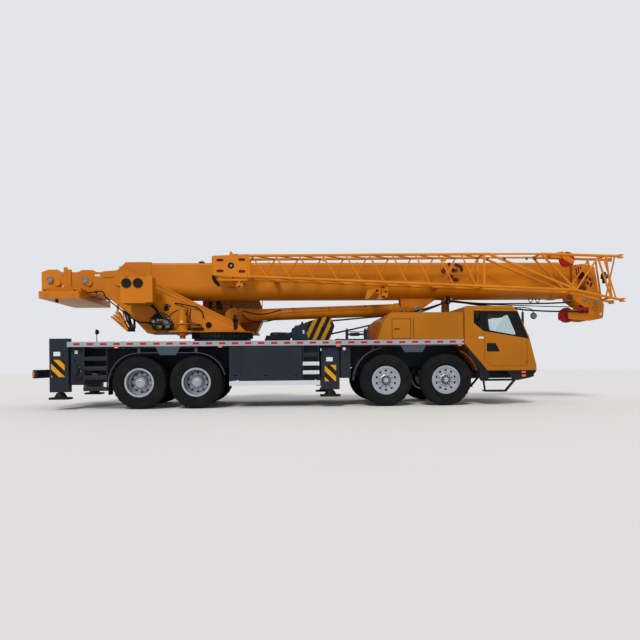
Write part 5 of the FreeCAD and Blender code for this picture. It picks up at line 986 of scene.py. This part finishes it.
def makeDriveCluster():
    # the slewing motor's valves and pipes, on the near side of the turntable
    parts = []
    blocks = [
        ((-4.330, -0.792, 1.850), (-4.255, -0.700, 2.050), "cast", 0.010),
        ((-4.250, -0.800, 1.980), (-4.120, -0.745, 2.110), "cast", 0.008),
        ((-4.230, -0.815, 1.850), (-4.100, -0.745, 1.930), "olive", 0.010),
        ((-4.110, -0.820, 1.935), (-4.010, -0.770, 2.010), "void", 0.006),
        ((-4.160, -0.825, 2.035), (-4.080, -0.770, 2.075), "olive", 0.006),
        ((-4.060, -0.815, 2.070), (-3.930, -0.770, 2.130), "cast", 0.008),
        ((-4.020, -0.825, 1.870), (-3.920, -0.780, 1.925), "olive", 0.008),
        ((-3.985, -0.800, 1.800), (-3.870, -0.700, 1.870), "void", 0.010),
        ((-4.345, -0.700, 2.120), (-4.150, -0.560, 2.185), "void", 0.010),
    ]
    for low, high, look, edge in blocks:
        parts.append(boxPiece(low, high, look, edge))
    for x, z, radius, look in ((-4.29, 2.02, 0.034, "bolt"), (-4.29, 1.90, 0.026, "void"),
                               (-4.19, 2.05, 0.026, "bolt"), (-4.13, 1.89, 0.020, "bolt"),
                               (-4.06, 1.97, 0.030, "cast"), (-3.95, 2.10, 0.020, "bolt"),
                               (-3.96, 1.90, 0.022, "bolt"), (-4.20, 1.89, 0.018, "void")):
        parts.append(pinPiece((x, -0.79, z), radius, -0.055, look, steps=16))
    hoses = [
        [(-4.30, -0.80, 2.05), (-4.30, -0.86, 2.16), (-4.16, -0.88, 2.24), (-4.02, -0.84, 2.20),
         (-3.95, -0.76, 2.14)],
        [(-4.19, -0.80, 2.06), (-4.17, -0.87, 2.16), (-4.06, -0.90, 2.17), (-3.96, -0.86, 2.06),
         (-3.88, -0.78, 1.98)],
        [(-4.13, -0.80, 1.89), (-4.11, -0.88, 1.84), (-4.00, -0.88, 1.82), (-3.90, -0.82, 1.86),
         (-3.84, -0.74, 1.96)],
        [(-4.29, -0.80, 1.90), (-4.34, -0.86, 1.94), (-4.37, -0.84, 2.06), (-4.36, -0.70, 2.14),
         (-4.30, -0.50, 2.22)],
        [(-3.95, -0.78, 2.10), (-3.90, -0.84, 2.18), (-3.80, -0.80, 2.26), (-3.76, -0.66, 2.30)],
        [(-4.40, -0.52, 1.99), (-4.46, -0.62, 1.985), (-4.42, -0.76, 1.975), (-4.32, -0.79, 1.96)],
    ]
    for route in hoses:
        parts.append(tubePiece(route, 0.013, "hose"))
    for route in hoses[:5]:
        x, y, z = route[0]
        parts.append(pinPiece((x, y + 0.01, z), 0.019, -0.03, "bolt", steps=12))
    cap = [(0.0, 2.309), (0.060, 2.309), (0.078, 2.320), (0.078, 2.345), (0.064, 2.352), (0.0, 2.352)]
    parts.append(turnedPiece([(r, z - 2.31) for r, z in cap], (-3.65, -0.65, 2.31), "boomMark", "z", 28))
    for i in range(10):  # bolts round the reducer's flange
        turn = 2.0 * math.pi * i / 10.0
        parts.append(boltPiece((-3.65 + 0.137 * math.cos(turn), -0.65 + 0.137 * math.sin(turn), 1.79),
                               0.011, 0.03, "boomMark", "z"))
    parts.append(turnedPiece([(0.0, -0.004), (0.024, -0.004), (0.024, 0.004), (0.0, 0.006)],
                             (-3.645, -0.815, 2.02), "plate", "y", 20))
    return parts


joinAs("slew_motor_fittings", makeDriveCluster(), "superstructure")


def makeTableHoses():
    parts = []
    y = -0.50
    parts.append(tubePiece([(-3.86, y, 2.483), (-3.76, y - 0.03, 2.476), (-3.574, y - 0.05, 2.430),
                            (-3.34, y - 0.05, 2.385), (-3.19, y - 0.04, 2.29), (-3.165, y - 0.01, 2.12)],
                           0.014, "hose"))
    parts.append(tubePiece([(-3.55, y, 2.345), (-3.575, y - 0.03, 2.24), (-3.56, y - 0.04, 2.06),
                            (-3.50, y - 0.04, 1.962), (-3.36, y - 0.04, 1.950), (-3.26, y - 0.04, 1.955),
                            (-3.20, y - 0.01, 1.88)], 0.011, "hose"))
    parts.append(tubePiece([(-3.48, y, 2.33), (-3.505, y - 0.03, 2.20), (-3.49, y - 0.035, 2.02),
                            (-3.36, y - 0.035, 1.985), (-3.22, y - 0.01, 1.96)], 0.009, "hose"))
    parts.append(boxPiece((-3.545, -0.56, 1.822), (-3.170, -0.478, 1.888), "void", 0.012))
    parts.append(boxPiece((-3.52, -0.572, 1.835), (-3.42, -0.556, 1.876), "cast", 0.006))
    for dx in (0.0, 0.028, -0.026):  # a bundle that drops from the slope to the plate's foot
        parts.append(tubePiece([(-2.42 + dx, -0.482, 2.20), (-2.42 + dx, -0.515, 2.14),
                                (-2.40 + dx * 1.4, -0.53, 2.02), (-2.40 + dx, -0.52, 1.90),
                                (-2.41 + dx, -0.482, 1.84)], 0.013, "hose"))
    parts.append(boxPiece((-2.475, -0.545, 2.03), (-2.335, -0.478, 2.09), "void", 0.010))
    for z in (2.14, 1.93):
        parts.append(boxPiece((-2.462, -0.532, z), (-2.348, -0.476, z + 0.022), "cast", 0.006))
    clip = [(-3.70, 2.462), (-3.34, 2.392), (-3.56, 2.08)]
    for x, z in clip:
        parts.append(boxPiece((x - 0.012, -0.568, z - 0.02), (x + 0.012, -0.476, z + 0.02), "cast", 0.004))
    parts.append(tubePiece([(-5.900, -0.52, 2.735), (-5.72, -0.56, 2.760), (-5.545, -0.58, 2.778),
                            (-5.500, -0.58, 2.700), (-5.462, -0.58, 2.600), (-5.10, -0.56, 2.310),
                            (-4.760, -0.54, 2.035), (-4.600, -0.52, 2.018), (-4.436, -0.50, 2.018)],
                           0.015, "hose"))
    near, far = upperWork["steps"]  # small steps and hoses hang under the rear slope
    for (x0, z0), (x1, z1) in upperWork["slats"]:
        run = math.hypot(x1 - x0, z1 - z0)
        dx, dz = (z1 - z0) / run * 0.016, (x0 - x1) / run * 0.016
        slat = [(x0 - dx, z0 - dz), (x0 + dx, z0 + dz), (x1 + dx, z1 + dz), (x1 - dx, z1 - dz)]
        parts.append(platePiece(slat, near, far, "boomMark", 0.004))
    for reach in (near - 0.006, far - 0.010):
        parts.append(platePiece(upperWork["slatSide"], reach, reach + 0.016, "boomMark", 0.004))
    for x, foot, top in upperWork["slatArms"]:
        parts.append(boxPiece((x - 0.02, -0.590, foot), (x + 0.02, -0.478, foot + 0.03), "boomMark", 0.004))
        parts.append(boxPiece((x - 0.02, -0.500, foot), (x + 0.02, -0.470, top), "boomMark", 0.004))
    for route in upperWork["pipes"]:
        parts.append(tubePiece(route, 0.024, "hose"))
    parts.append(boxPiece((-4.960, -0.560, 1.805), (-4.810, -0.450, 1.915), "void", 0.014))
    parts.append(boxPiece((-4.880, -0.590, 1.900), (-4.785, -0.500, 1.980), "cast", 0.012))
    parts.append(boxPiece((-4.850, -0.500, 1.890), (-4.800, -0.460, 2.100), "void", 0.008))
    parts.append(tubePiece(upperWork["strap"], 0.036, "hose"))
    for x, z in ((-5.72, 2.760), (-5.20, 2.39), (-4.90, 2.15)):
        parts.append(boxPiece((x - 0.018, -0.592, z - 0.024), (x + 0.018, -0.476, z + 0.024), "cast", 0.005))
    return parts


joinAs("table_hoses", makeTableHoses(), "superstructure")


def makeWinchRopes():
    parts = []
    for x, z, core, top in upperWork["drums"]:
        half, thick = upperWork["drumHalf"], upperWork["ropeRadius"]
        turns = int(half / thick)
        layer = core + 4.5 * thick
        profile = [(core + 0.001, -half)]
        for i in range(turns * 2 + 1):
            reach = -half + i * thick
            profile.append((layer + (thick if i % 2 else 0.0), min(reach, half)))
        profile.append((core + 0.001, half))
        parts.append(turnedPiece(profile, (x, 0.0, z), "rope", "y", 48, 80.0))
    return parts


joinAs("winch_rope", makeWinchRopes(), "superstructure")
print("winches wound")


def makeUpperTrim():
    parts = []
    for i in range(4):  # lifting eyes on the counterweight's upper face
        x = -6.68 + 0.22 * i
        for side in (-1.0, 1.0):
            y0, y1 = sorted((side * 1.06, side * 1.10))
            if i in (0, 3):
                parts.append(boxPiece((x - 0.05, y0, 2.690), (x + 0.05, y1, 2.775), "boomMark", 0.02))
                # the eye's hole is a dark pin of painted shade
                parts.append(pinPiece((x, side * 1.052, 2.738), 0.019, side * 0.056, "void", steps=16))
    for side in (-1.0, 1.0):
        y0, y1 = sorted((side * 1.190, side * 1.206))
        for x in (-6.62, -6.04):
            parts.append(boxPiece((x - 0.07, y0, 2.560), (x + 0.07, y1, 2.670), "boomMark", 0.012))
            parts.append(boltPiece((x, side * 1.204, 2.615), 0.022, side * 0.014))
    parts.append(pinPiece((-6.49, -0.9, 2.541), 0.035, -0.07, "black_parts", "z", 16))
    # a cover stands in front of the tank's forward end
    parts.append(boxPiece((-4.370, -1.190, 2.440), (-4.236, -0.800, 3.034), "boomMark", 0.014))
    parts.append(boxPiece((-4.376, -1.204, 2.436), (-4.230, -1.184, 3.040), "boomMark", 0.006))
    for z in (2.56, 2.90):
        parts.append(boltPiece((-4.303, -1.203, z), 0.014, -0.010))
    # the cab's lamp, rails and handles on the far side of the boom
    parts.append(boxPiece((-3.30, 1.02, 3.56), (-3.18, 1.14, 3.60), "black_parts", 0.01))
    parts.append(turnedPiece([(0.0, 0.0), (0.045, 0.0), (0.042, 0.055), (0.030, 0.070), (0.0, 0.072)],
                             (-3.24, 1.08, 3.564), "amber", "z", 24))
    parts.append(tubePiece([(-2.02, 1.215, 2.10), (-1.98, 1.245, 2.20), (-1.96, 1.245, 2.60),
                            (-2.02, 1.215, 2.70)], 0.012, "black_parts"))
    parts.append(tubePiece([(-1.812, 0.72, 2.45), (-1.800, 0.86, 2.70), (-1.835, 0.98, 2.98)], 0.008,
                           "black_parts"))
    parts.append(boxPiece((-3.30, 1.195, 2.27), (-1.98, 1.212, 2.30), "black_parts", 0.004))
    for x in (-3.22, -2.70):
        parts.append(boxPiece((x, 1.197, 2.52), (x + 0.05, 1.216, 2.64), "black_parts", 0.006))
    return parts


joinAs("upper_trim", makeUpperTrim(), "superstructure")
print("upper trim made")

boomWork = {
    "nearFace": -0.342,
    # the two dark discs are painted shade in holes; the red disc is a red pin
    "discs": [(2.748, 3.293, 0.060, "redPaint"), (3.000, 3.303, 0.042, "void"), (3.205, 3.310, 0.034, "void")],
    "fittings": [((2.855, -0.372, 3.425), (2.925, -0.338, 3.490), "redPaint"),
                 ((2.870, -0.372, 3.110), (2.985, -0.338, 3.185), "redPaint"),
                 ((2.990, -0.372, 3.035), (3.125, -0.338, 3.105), "redPaint"),
                 ((3.020, -0.370, 3.270), (3.105, -0.338, 3.330), "cast")],
    "latchFace": -0.7900,
    "latchArm": [(0.715, 2.552), (0.905, 2.765), (0.950, 2.735), (0.792, 2.527)],
    "latchGapPaintedShade": [(0.800, 2.530), (0.968, 2.725), (1.060, 2.650), (0.990, 2.530)],
    # the dark latch boxes are painted shade in holes and slots; the red box is red paint
    "latch": [((0.980, -0.7930, 2.712), (1.046, -0.7840, 2.768), "void"),
              ((1.106, -0.7930, 2.565), (1.120, -0.7840, 2.800), "void"),
              ((1.192, -0.7930, 2.690), (1.250, -0.7840, 2.742), "void"),
              ((1.132, -0.7930, 2.566), (1.205, -0.7840, 2.612), "void"),
              ((1.112, -0.7960, 2.802), (1.190, -0.7600, 2.858), "redPaint")],
    "ropeRadius": 0.010, "ropeHeight": 3.510, "rollerX": [-1.6, 0.6, 2.8, 4.6], "collarX": [5.58, 5.66],
}


def makeBoomTrim():
    parts = []
    for side in (-1.0, 1.0):
        y = side * 0.345
        parts.append(turnedPiece([(0.0, 0.0), (0.105, 0.0), (0.110, side * 0.010), (0.110, side * 0.024),
                                  (0.092, side * 0.032), (0.0, side * 0.032)], (-5.15, y, 3.05), "bolt",
                                 "y", 32))
        for i in range(3):
            turn = 2.0 * math.pi * i / 3.0 + 0.5
            parts.append(boltPiece((-5.15 + 0.07 * math.cos(turn), y + side * 0.030,
                                    3.05 + 0.07 * math.sin(turn)), 0.012, side * 0.012))
        for x in boomWork["collarX"]:
            for z in (2.80, 2.95, 3.10, 3.25):
                parts.append(boltPiece((x, side * 0.343, z), 0.013, side * 0.014))
        # the rod's pin and its keeper plates
        parts.append(turnedPiece([(0.0, 0.0), (0.062, 0.0), (0.062, side * 0.010), (0.045, side * 0.016),
                                  (0.0, side * 0.016)], (2.10, side * 0.185, 2.36), "bolt", "y", 28))
    for x, z, radius, look in boomWork["discs"]:
        parts.append(turnedPiece([(0.0, 0.0), (radius, 0.0), (radius, -0.018), (radius * 0.8, -0.026),
                                  (0.0, -0.026)], (x, boomWork["nearFace"], z), look, "y", 24))
    parts.append(tubePiece([(3.035, -0.362, 3.460), (3.220, -0.362, 3.372)], 0.030, "redPaint", False))
    for low, high, look in boomWork["fittings"]:
        parts.append(boxPiece(low, high, look, 0.012))
    for low, high, look in boomWork["latch"]:
        parts.append(boxPiece(low, high, look, 0.006))
    parts.append(platePiece(boomWork["latchArm"], boomWork["latchFace"], boomWork["latchFace"] - 0.016,
                            "boomMark", 0.004))
    # the gap between the latch arm and its plate is painted brown as painted shade
    parts.append(platePiece(boomWork["latchGapPaintedShade"], boomWork["latchFace"] + 0.004,
                            boomWork["latchFace"] - 0.003, "brown", 0.001))
    # lamp and camera on the boom's top, and the rope's first guide
    parts.append(boxPiece((-3.31, -0.30, 3.50), (-3.17, -0.18, 3.525), "black_parts", 0.008))
    parts.append(pinPiece((-3.24, -0.24, 3.52), 0.035, 0.05, "clearLens", "z", 20))
    low = boomWork["ropeHeight"]
    for x in boomWork["rollerX"]:
        for y in (-0.16, 0.16):
            parts.append(boxPiece((x - 0.02, y - 0.035, low - 0.030), (x + 0.02, y + 0.035, low + 0.008),
                                  "boomMark", 0.006))
        parts.append(pinPiece((x, -0.21, low - 0.006), 0.018, 0.42, "black_parts", "y", 16))
    for y in (-0.06, 0.06):
        parts.append(tubePiece([(-5.30, y, 3.43), (-4.4, y, low + 0.012), (0.0, y, low + 0.014),
                                (5.65, y, low + 0.014)], boomWork["ropeRadius"], "rope"))
    # clips and hose reels under the boom
    for x in (4.974, 5.155):
        parts.append(tubePiece([(x - 0.05, -0.30, 2.60), (x - 0.045, -0.305, 2.52), (x, -0.31, 2.485),
                                (x + 0.045, -0.305, 2.52), (x + 0.05, -0.30, 2.60)], 0.011, "hose"))
    for x in (0.10, 1.20, 3.20, 4.30):
        parts.append(boltPiece((x, -0.2, 2.596), 0.014, -0.018, axis="z"))
    return parts


joinAs("boom_details", makeBoomTrim(), "boom_base")
print("boom details made")


def makeCylinderTrim():
    # the lift cylinder's gland, with its valve and short hoses, lying along the barrel
    slope = math.radians(1.918)
    base = Vector((-2.5, 0.0, 2.21))
    along = Vector((math.cos(slope), 0.0, math.sin(slope)))
    rise = Vector((-math.sin(slope), 0.0, math.cos(slope)))

    def spot(reach, y, lift):
        place = base + along * reach + rise * lift
        return (place.x, y, place.z)

    parts = []
    routes = [
        [spot(0.24, -0.19, 0.02), spot(0.30, -0.27, -0.10), spot(0.55, -0.28, -0.20),
         spot(0.90, -0.24, -0.19), spot(1.10, -0.19, -0.12)],
        [spot(0.26, -0.18, 0.10), spot(0.36, -0.27, 0.06), spot(0.66, -0.28, -0.02),
         spot(0.98, -0.27, 0.02), spot(1.20, -0.235, 0.09)],
    ]
    for route in routes:
        parts.append(tubePiece(route, 0.014, "hose"))
    parts.append(tubePiece([spot(1.15, -0.232, 0.08), spot(1.6, -0.236, 0.10), spot(3.4, -0.236, 0.10),
                            spot(3.9, -0.232, 0.09)], 0.011, "boomMark"))
    for reach in (1.5, 2.4, 3.3):
        x, y, z = spot(reach, -0.23, 0.10)
        parts.append(boxPiece((x - 0.02, -0.252, z - 0.02), (x + 0.02, -0.205, z + 0.02), "cast", 0.004))
    return parts


joinAs("lift_cylinder_pipes", makeCylinderTrim(), "lift_barrel")
print("lift cylinder dressed")

jibWork = {
    "pinAt": (-2.430, 3.265), "boltsAt": [3.552, 3.959, 4.487, 4.704],
    "baseBlocks": [
        ((-2.785, -1.2525, 3.095), (-2.080, -1.2460, 3.436), "redPaint", 0.002),  # seen through the slots
        ((-2.078, -1.292, 3.000), (-2.046, -1.254, 3.505), "jibMark", 0.006),
        ((-2.868, -1.290, 3.060), (-2.842, -1.254, 3.470), "jibMark", 0.006),
        ((-2.750, -1.262, 2.918), (-2.060, -1.200, 2.962), "jibMark", 0.008),
        ((-2.700, -1.250, 2.955), (-2.660, -1.225, 3.060), "jibMark", 0.004),
        ((-2.140, -1.250, 2.955), (-2.100, -1.225, 3.030), "jibMark", 0.004),
        ((-2.330, -1.252, 2.790), (-2.160, -1.190, 2.862), "jibMark", 0.010),
        ((-2.275, -1.258, 2.800), (-2.225, -1.236, 2.940), "jibMark", 0.004),
        ((-2.370, -1.274, 3.505), (-2.262, -1.258, 3.532), "redPaint", 0.003),
    ],
    "clip": [(-2.868, 3.085), (-2.800, 3.085), (-2.775, 2.960), (-2.705, 2.880), (-2.690, 2.800),
             (-2.735, 2.790), (-2.815, 2.870), (-2.868, 2.970)],
    "horn": [(-2.470, 3.490), (-2.450, 3.590), (-2.415, 3.592), (-2.375, 3.530), (-2.330, 3.500)],
}


def makeJibTrim():
    parts = []
    x, z = jibWork["pinAt"]
    # a dark ring of painted shade round the pin's hole
    parts.append(turnedPiece([(0.0, -1.2525), (0.073, -1.2525), (0.073, -1.262), (0.030, -1.264),
                              (0.0, -1.264)], (x, 0.0, z), "void", "y", 32))
    parts.append(pinPiece((x, -1.262, z), 0.030, -0.014, "bolt"))
    for low, high, look, edge in jibWork["baseBlocks"]:
        parts.append(boxPiece(low, high, look, edge))
    parts.append(platePiece(jibWork["clip"], -1.272, -1.205, "void", 0.006))
    parts.append(platePiece(jibWork["horn"], -1.276, -1.256, "jibMark", 0.003))
    for px, pz in ((-2.345, 2.842), (-2.140, 2.842), (-2.244, 2.792)):
        parts.append(pinPiece((px, -1.245, pz), 0.024, -0.018, "redPaint", steps=16))
    # dark discs of painted shade round the bolts' holes
    for cx in jibWork["boltsAt"]:
        parts.append(pinPiece((cx, -1.275, 3.425), 0.030, -0.014, "void", steps=20))
        parts.append(boltPiece((cx, -1.276, 3.425), 0.015, -0.020))
    for cx in (-0.287, 2.529):  # pads that lie on the upper chord
        parts.append(boxPiece((cx - 0.045, -1.285, 3.37), (cx + 0.045, -1.215, 3.425), "jibMark", 0.010))
    # keeper pins with their rings at the tips of both forks
    for fx, fz in ((6.79, 3.49), (6.83, 2.45)):
        for y in (-1.22, -0.79):
            parts.append(pinPiece((fx, y - 0.05, fz), 0.017, 0.10, "bolt", steps=16))
    bracket = [(6.455, 3.10), (6.475, 3.15), (6.52, 3.15), (6.54, 3.10), (6.60, 3.05), (6.60, 3.00),
               (6.54, 2.99), (6.545, 2.90), (6.52, 2.88), (6.49, 2.88), (6.485, 2.98), (6.44, 3.00)]
    parts.append(platePiece(bracket, -1.060, -0.940, "black_parts", 0.008))
    parts.append(pinPiece((6.515, -1.08, 3.05), 0.03, 0.16, "bolt"))
    return parts


joinAs("jib_details", makeJibTrim(), "boom_base")
print("jib details made")

headWork = {"face": -0.292, "farFace": 0.292}


def makeHeadTrim():
    parts = []
    for side in (-1.0, 1.0):
        y = side * 0.291
        near, far = y - side * 0.002, y + side * 0.004

        # slots through the plate, drawn as flat dark sheets of painted shade
        def slot(x, z, length, width, tilt):
            c, s = math.cos(math.radians(tilt)), math.sin(math.radians(tilt))
            outline = []
            for i in range(8):
                turn = math.pi * i / 4.0 + math.pi / 8.0
                u = (length - width) / 2.0 * (1.0 if math.cos(turn) > 0 else -1.0) + width / 2.0 * math.cos(turn)
                v = width / 2.0 * math.sin(turn)
                outline.append((x + u * c - v * s, z + u * s + v * c))
            parts.append(platePiece(outline, near, far, "void", 0.0))

        for i in range(3):
            slot(6.168 + 0.062 * i, 3.285 + 0.008 * i, 0.20, 0.028, 96.0)
        for i in range(5):
            slot(6.215 + 0.044 * i, 2.865 - 0.010 * i, 0.150, 0.022, 98.0)
        for cx, cz, length, width, tilt in ((6.44, 3.13, 0.11, 0.045, 50), (6.52, 3.08, 0.10, 0.045, 120),
                                            (6.61, 3.10, 0.09, 0.045, 60), (6.46, 2.98, 0.10, 0.045, 120),
                                            (6.55, 2.94, 0.12, 0.050, 70), (6.65, 2.96, 0.09, 0.045, 110)):
            slot(cx, cz, length, width, tilt)
        for cx, cz in ((6.16, 2.62), (6.33, 2.56), (6.48, 2.50), (6.60, 2.60), (6.15, 3.44), (6.55, 3.30),
                       (6.62, 2.72)):
            parts.append(boltPiece((cx, y - side * 0.001, cz), 0.014, side * 0.012))
        cover = [(6.190, 2.216), (6.190, 2.368), (6.500, 2.368), (6.470, 2.216)]
        parts.append(platePiece(cover, y - side * 0.03, y + side * 0.010, "sheave_red", 0.010))
        for cx, cz in ((6.40, 2.55), (6.72, 2.48)):
            parts.append(turnedPiece([(0.0, 0.0), (0.050, 0.0), (0.050, side * 0.010),
                                      (0.036, side * 0.020), (0.0, side * 0.020)], (cx, y, cz), "bolt",
                                     "y", 28))
    # the rope's end socket and the height switch hang at the tip
    parts.append(boxPiece((6.745, -0.285, 2.155), (6.825, -0.215, 2.265), "black_parts", 0.012))
    parts.append(pinPiece((6.790, -0.286, 2.20), 0.030, -0.012, "plate", steps=16))
    parts.append(tubePiece([(6.76, -0.25, 2.26), (6.72, -0.27, 2.34), (6.66, -0.28, 2.40)], 0.010, "hose"))
    return parts


joinAs("head_details", makeHeadTrim(), "boom_tip")
print("head details made")

ropeWork = {"radius": 0.020, "thin": 0.011}
ropeRoutes = {
    "guide": [(2.868, -0.305, 2.549), (2.93, -0.305, 2.470)],
    "upper": [(-0.120, -0.452, 2.040), (0.60, -0.440, 2.105), (1.273, -0.42, 2.158), (2.137, -0.36, 2.279),
              (2.729, -0.312, 2.479), (2.868, -0.305, 2.560), (3.30, -0.30, 2.500), (3.796, -0.30, 2.462),
              (4.80, -0.30, 2.462), (5.748, -0.30, 2.474), (6.130, -0.24, 2.520)],
    "lower": [(-0.120, -0.438, 1.715), (0.60, -0.430, 1.865), (1.248, -0.42, 2.020), (2.20, -0.34, 2.250),
              (2.760, -0.300, 2.490), (2.945, -0.285, 2.545), (3.60, -0.26, 2.440), (4.25, -0.22, 2.385),
              (4.90, -0.28, 2.300), (5.50, -0.312, 2.264), (6.00, -0.320, 2.262), (6.46, -0.320, 2.262)],
    "thin": [(2.930, -0.30, 2.515), (3.445, -0.30, 2.455), (4.60, -0.28, 2.425), (5.40, -0.27, 2.392),
             (6.060, -0.262, 2.383)],
}


def makeBoomRopes():
    parts = [tubePiece(ropeRoutes["upper"][4:], ropeWork["radius"], "rope"),
             tubePiece(ropeRoutes["lower"][4:], ropeWork["radius"], "rope"),
             tubePiece(ropeRoutes["thin"], ropeWork["thin"], "hose")]
    for x in (6.30, 6.44):  # clamps that hold the lower rope to the head's side
        parts.append(boxPiece((x - 0.02, -0.345, 2.235), (x + 0.02, -0.300, 2.289), "black_parts", 0.006))
    parts.append(turnedPiece([(0.018, -0.030), (0.050, -0.030), (0.056, -0.022), (0.040, 0.0),
                              (0.056, 0.022), (0.050, 0.030), (0.018, 0.030)], (2.868, -0.305, 2.502),
                             "black_parts", "y", 28))
    parts.append(boxPiece((2.82, -0.350, 2.50), (2.915, -0.338, 2.66), "black_parts", 0.004))
    parts.append(boxPiece((2.82, -0.272, 2.50), (2.915, -0.260, 2.66), "black_parts", 0.004))
    parts.append(pinPiece((2.868, -0.352, 2.502), 0.018, 0.094, "bolt", steps=16))
    return parts


joinAs("boom_ropes", makeBoomRopes(), "boom_tip")


hookWork = {
    "middle": -0.45, "level": 1.706, "thick": 0.064, "caps": [(-0.31, 1.85, 0.030), (-0.10, 1.98, 0.020)],
    "headPlate": [(-1.046, 1.604), (-1.050, 1.850), (-0.826, 1.960), (-0.806, 2.022), (-0.776, 2.022),
                  (-0.764, 1.976), (-0.640, 1.990), (-0.700, 1.800), (-0.640, 1.586), (-1.020, 1.586)],
    "headCore": [(-1.030, 1.600), (-1.034, 1.840), (-0.840, 1.935), (-0.740, 1.900), (-0.740, 1.600)],
    "bend": [(-1.16, 0.0), (-1.26, 0.0), (-1.34, -0.10), (-1.47, -0.12), (-1.53, -0.02), (-1.49, 0.10),
             (-1.39, 0.13)],
}


def makeHookRopes():
    parts = [tubePiece(ropeRoutes["upper"][:5], ropeWork["radius"], "rope"),
             tubePiece(ropeRoutes["lower"][:5], ropeWork["radius"], "rope")]
    middle = hookWork["middle"]
    for side in (-1.0, 1.0):
        y = middle + side * 0.168
        for x, z, radius in hookWork["caps"]:
            parts.append(turnedPiece([(0.0, 0.0), (radius, 0.0), (radius, side * 0.008),
                                      (radius * 0.7, side * 0.016), (0.0, side * 0.016)], (x, y, z), "void",
                                     "y", 24))
        near, far = middle + side * 0.126, middle + side * 0.158
        parts.append(platePiece(hookWork["headPlate"], near, far, "slateMark", 0.008))
        tag = sorted((far, far + side * 0.004))
        parts.append(boxPiece((-0.780, tag[0], 1.725), (-0.742, tag[1], 1.812), "plate", 0.002))
    parts.append(platePiece(hookWork["headCore"], middle - 0.13, middle + 0.13, "slateMark", 0.012))
    level = hookWork["level"]
    parts.append(turnedPiece([(0.0, 0.0), (0.070, 0.0), (0.074, -0.03), (0.058, -0.06), (0.052, -0.15),
                              (0.0, -0.15)], (-1.040, middle, level), "slateMark", "x", 24))
    bend = [(x, middle + y, level) for x, y in hookWork["bend"]]
    parts.append(tubePiece(bend, hookWork["thick"], "slateMark", True, 5))
    parts.append(turnedPiece([(0.0, 0.0), (0.064, 0.0), (0.058, -0.05), (0.036, -0.11), (0.0, -0.13)],
                             bend[-1], "slateMark", "x", 20))
    return parts


joinAs("hook_ropes", makeHookRopes(), "hook_block")
print("ropes reeved")

studio = {
    "cameraPlace": (-1.13, -15.13, 1.0),
    "turn": -3.0, "roll": -0.5, "lens": 33.75, "shift": 0.068,
    "floorHalf": 60.0, "floorTone": shade(222, 221, 218), "skyTone": shade(226, 229, 233),
    "sunPower": 2.1, "sunTilt": (46.0, -18.0, 0.0), "skyPower": 0.60,
}


def setStudio():
    deselectAll()
    half = studio["floorHalf"]
    bpy.ops.mesh.primitive_plane_add(size=2.0 * half, location=(0.0, 0.0, -0.002))
    floor = bpy.context.object
    floor.name = "studioFloor"
    shop = PaintShop("studioFloorPaint")
    cloud = shop.noise(0.35, 4.0)
    tone = shop.mix(cloud.ease(0.3, 0.7) * 0.05, studio["floorTone"], shade(196, 196, 194))
    floor.data.materials.append(shop.finish(Base_Color=tone, Roughness=0.85))
    world = bpy.data.worlds.new("studioSky")
    world.use_nodes = True
    tree = world.node_tree
    tree.nodes.clear()
    path = tree.nodes.new("ShaderNodeLightPath")
    output = tree.nodes.new("ShaderNodeOutputWorld")
    lit, seen = tree.nodes.new("ShaderNodeBackground"), tree.nodes.new("ShaderNodeBackground")
    lit.inputs[0].default_value = (1.0, 1.0, 1.0, 1.0)
    lit.inputs[1].default_value = studio["skyPower"]
    seen.inputs[0].default_value = studio["skyTone"]
    either = tree.nodes.new("ShaderNodeMath")
    either.operation = "MAXIMUM"
    tree.links.new(path.outputs["Is Camera Ray"], either.inputs[0])
    tree.links.new(path.outputs["Is Transmission Ray"], either.inputs[1])
    blend = tree.nodes.new("ShaderNodeMixShader")
    tree.links.new(either.outputs[0], blend.inputs[0])
    tree.links.new(lit.outputs[0], blend.inputs[1])
    tree.links.new(seen.outputs[0], blend.inputs[2])
    tree.links.new(blend.outputs[0], output.inputs[0])
    bpy.context.scene.world = world
    tilt = [math.radians(a) for a in studio["sunTilt"]]
    bpy.ops.object.light_add(type="SUN", location=(-6.0, -12.0, 14.0), rotation=tilt)
    sun = bpy.context.object
    sun.data.energy = studio["sunPower"]
    sun.data.angle = math.radians(14.0)


def setCamera():
    turn, roll = math.radians(studio["turn"]), math.radians(studio["roll"])
    bpy.ops.object.camera_add(location=studio["cameraPlace"])
    camera = bpy.context.object
    facing = Matrix.Rotation(turn, 4, "Z") @ Matrix.Rotation(math.radians(90.0), 4, "X")
    facing = facing @ Matrix.Rotation(roll, 4, "Z")
    camera.matrix_world = Matrix.Translation(studio["cameraPlace"]) @ facing
    camera.data.lens = studio["lens"]
    camera.data.sensor_width = 36.0
    camera.data.shift_y = studio["shift"]
    camera.data.clip_end = 300.0
    bpy.context.scene.camera = camera


setStudio()
setCamera()
bpy.context.scene.view_settings.view_transform = "Standard"
print("studio set")
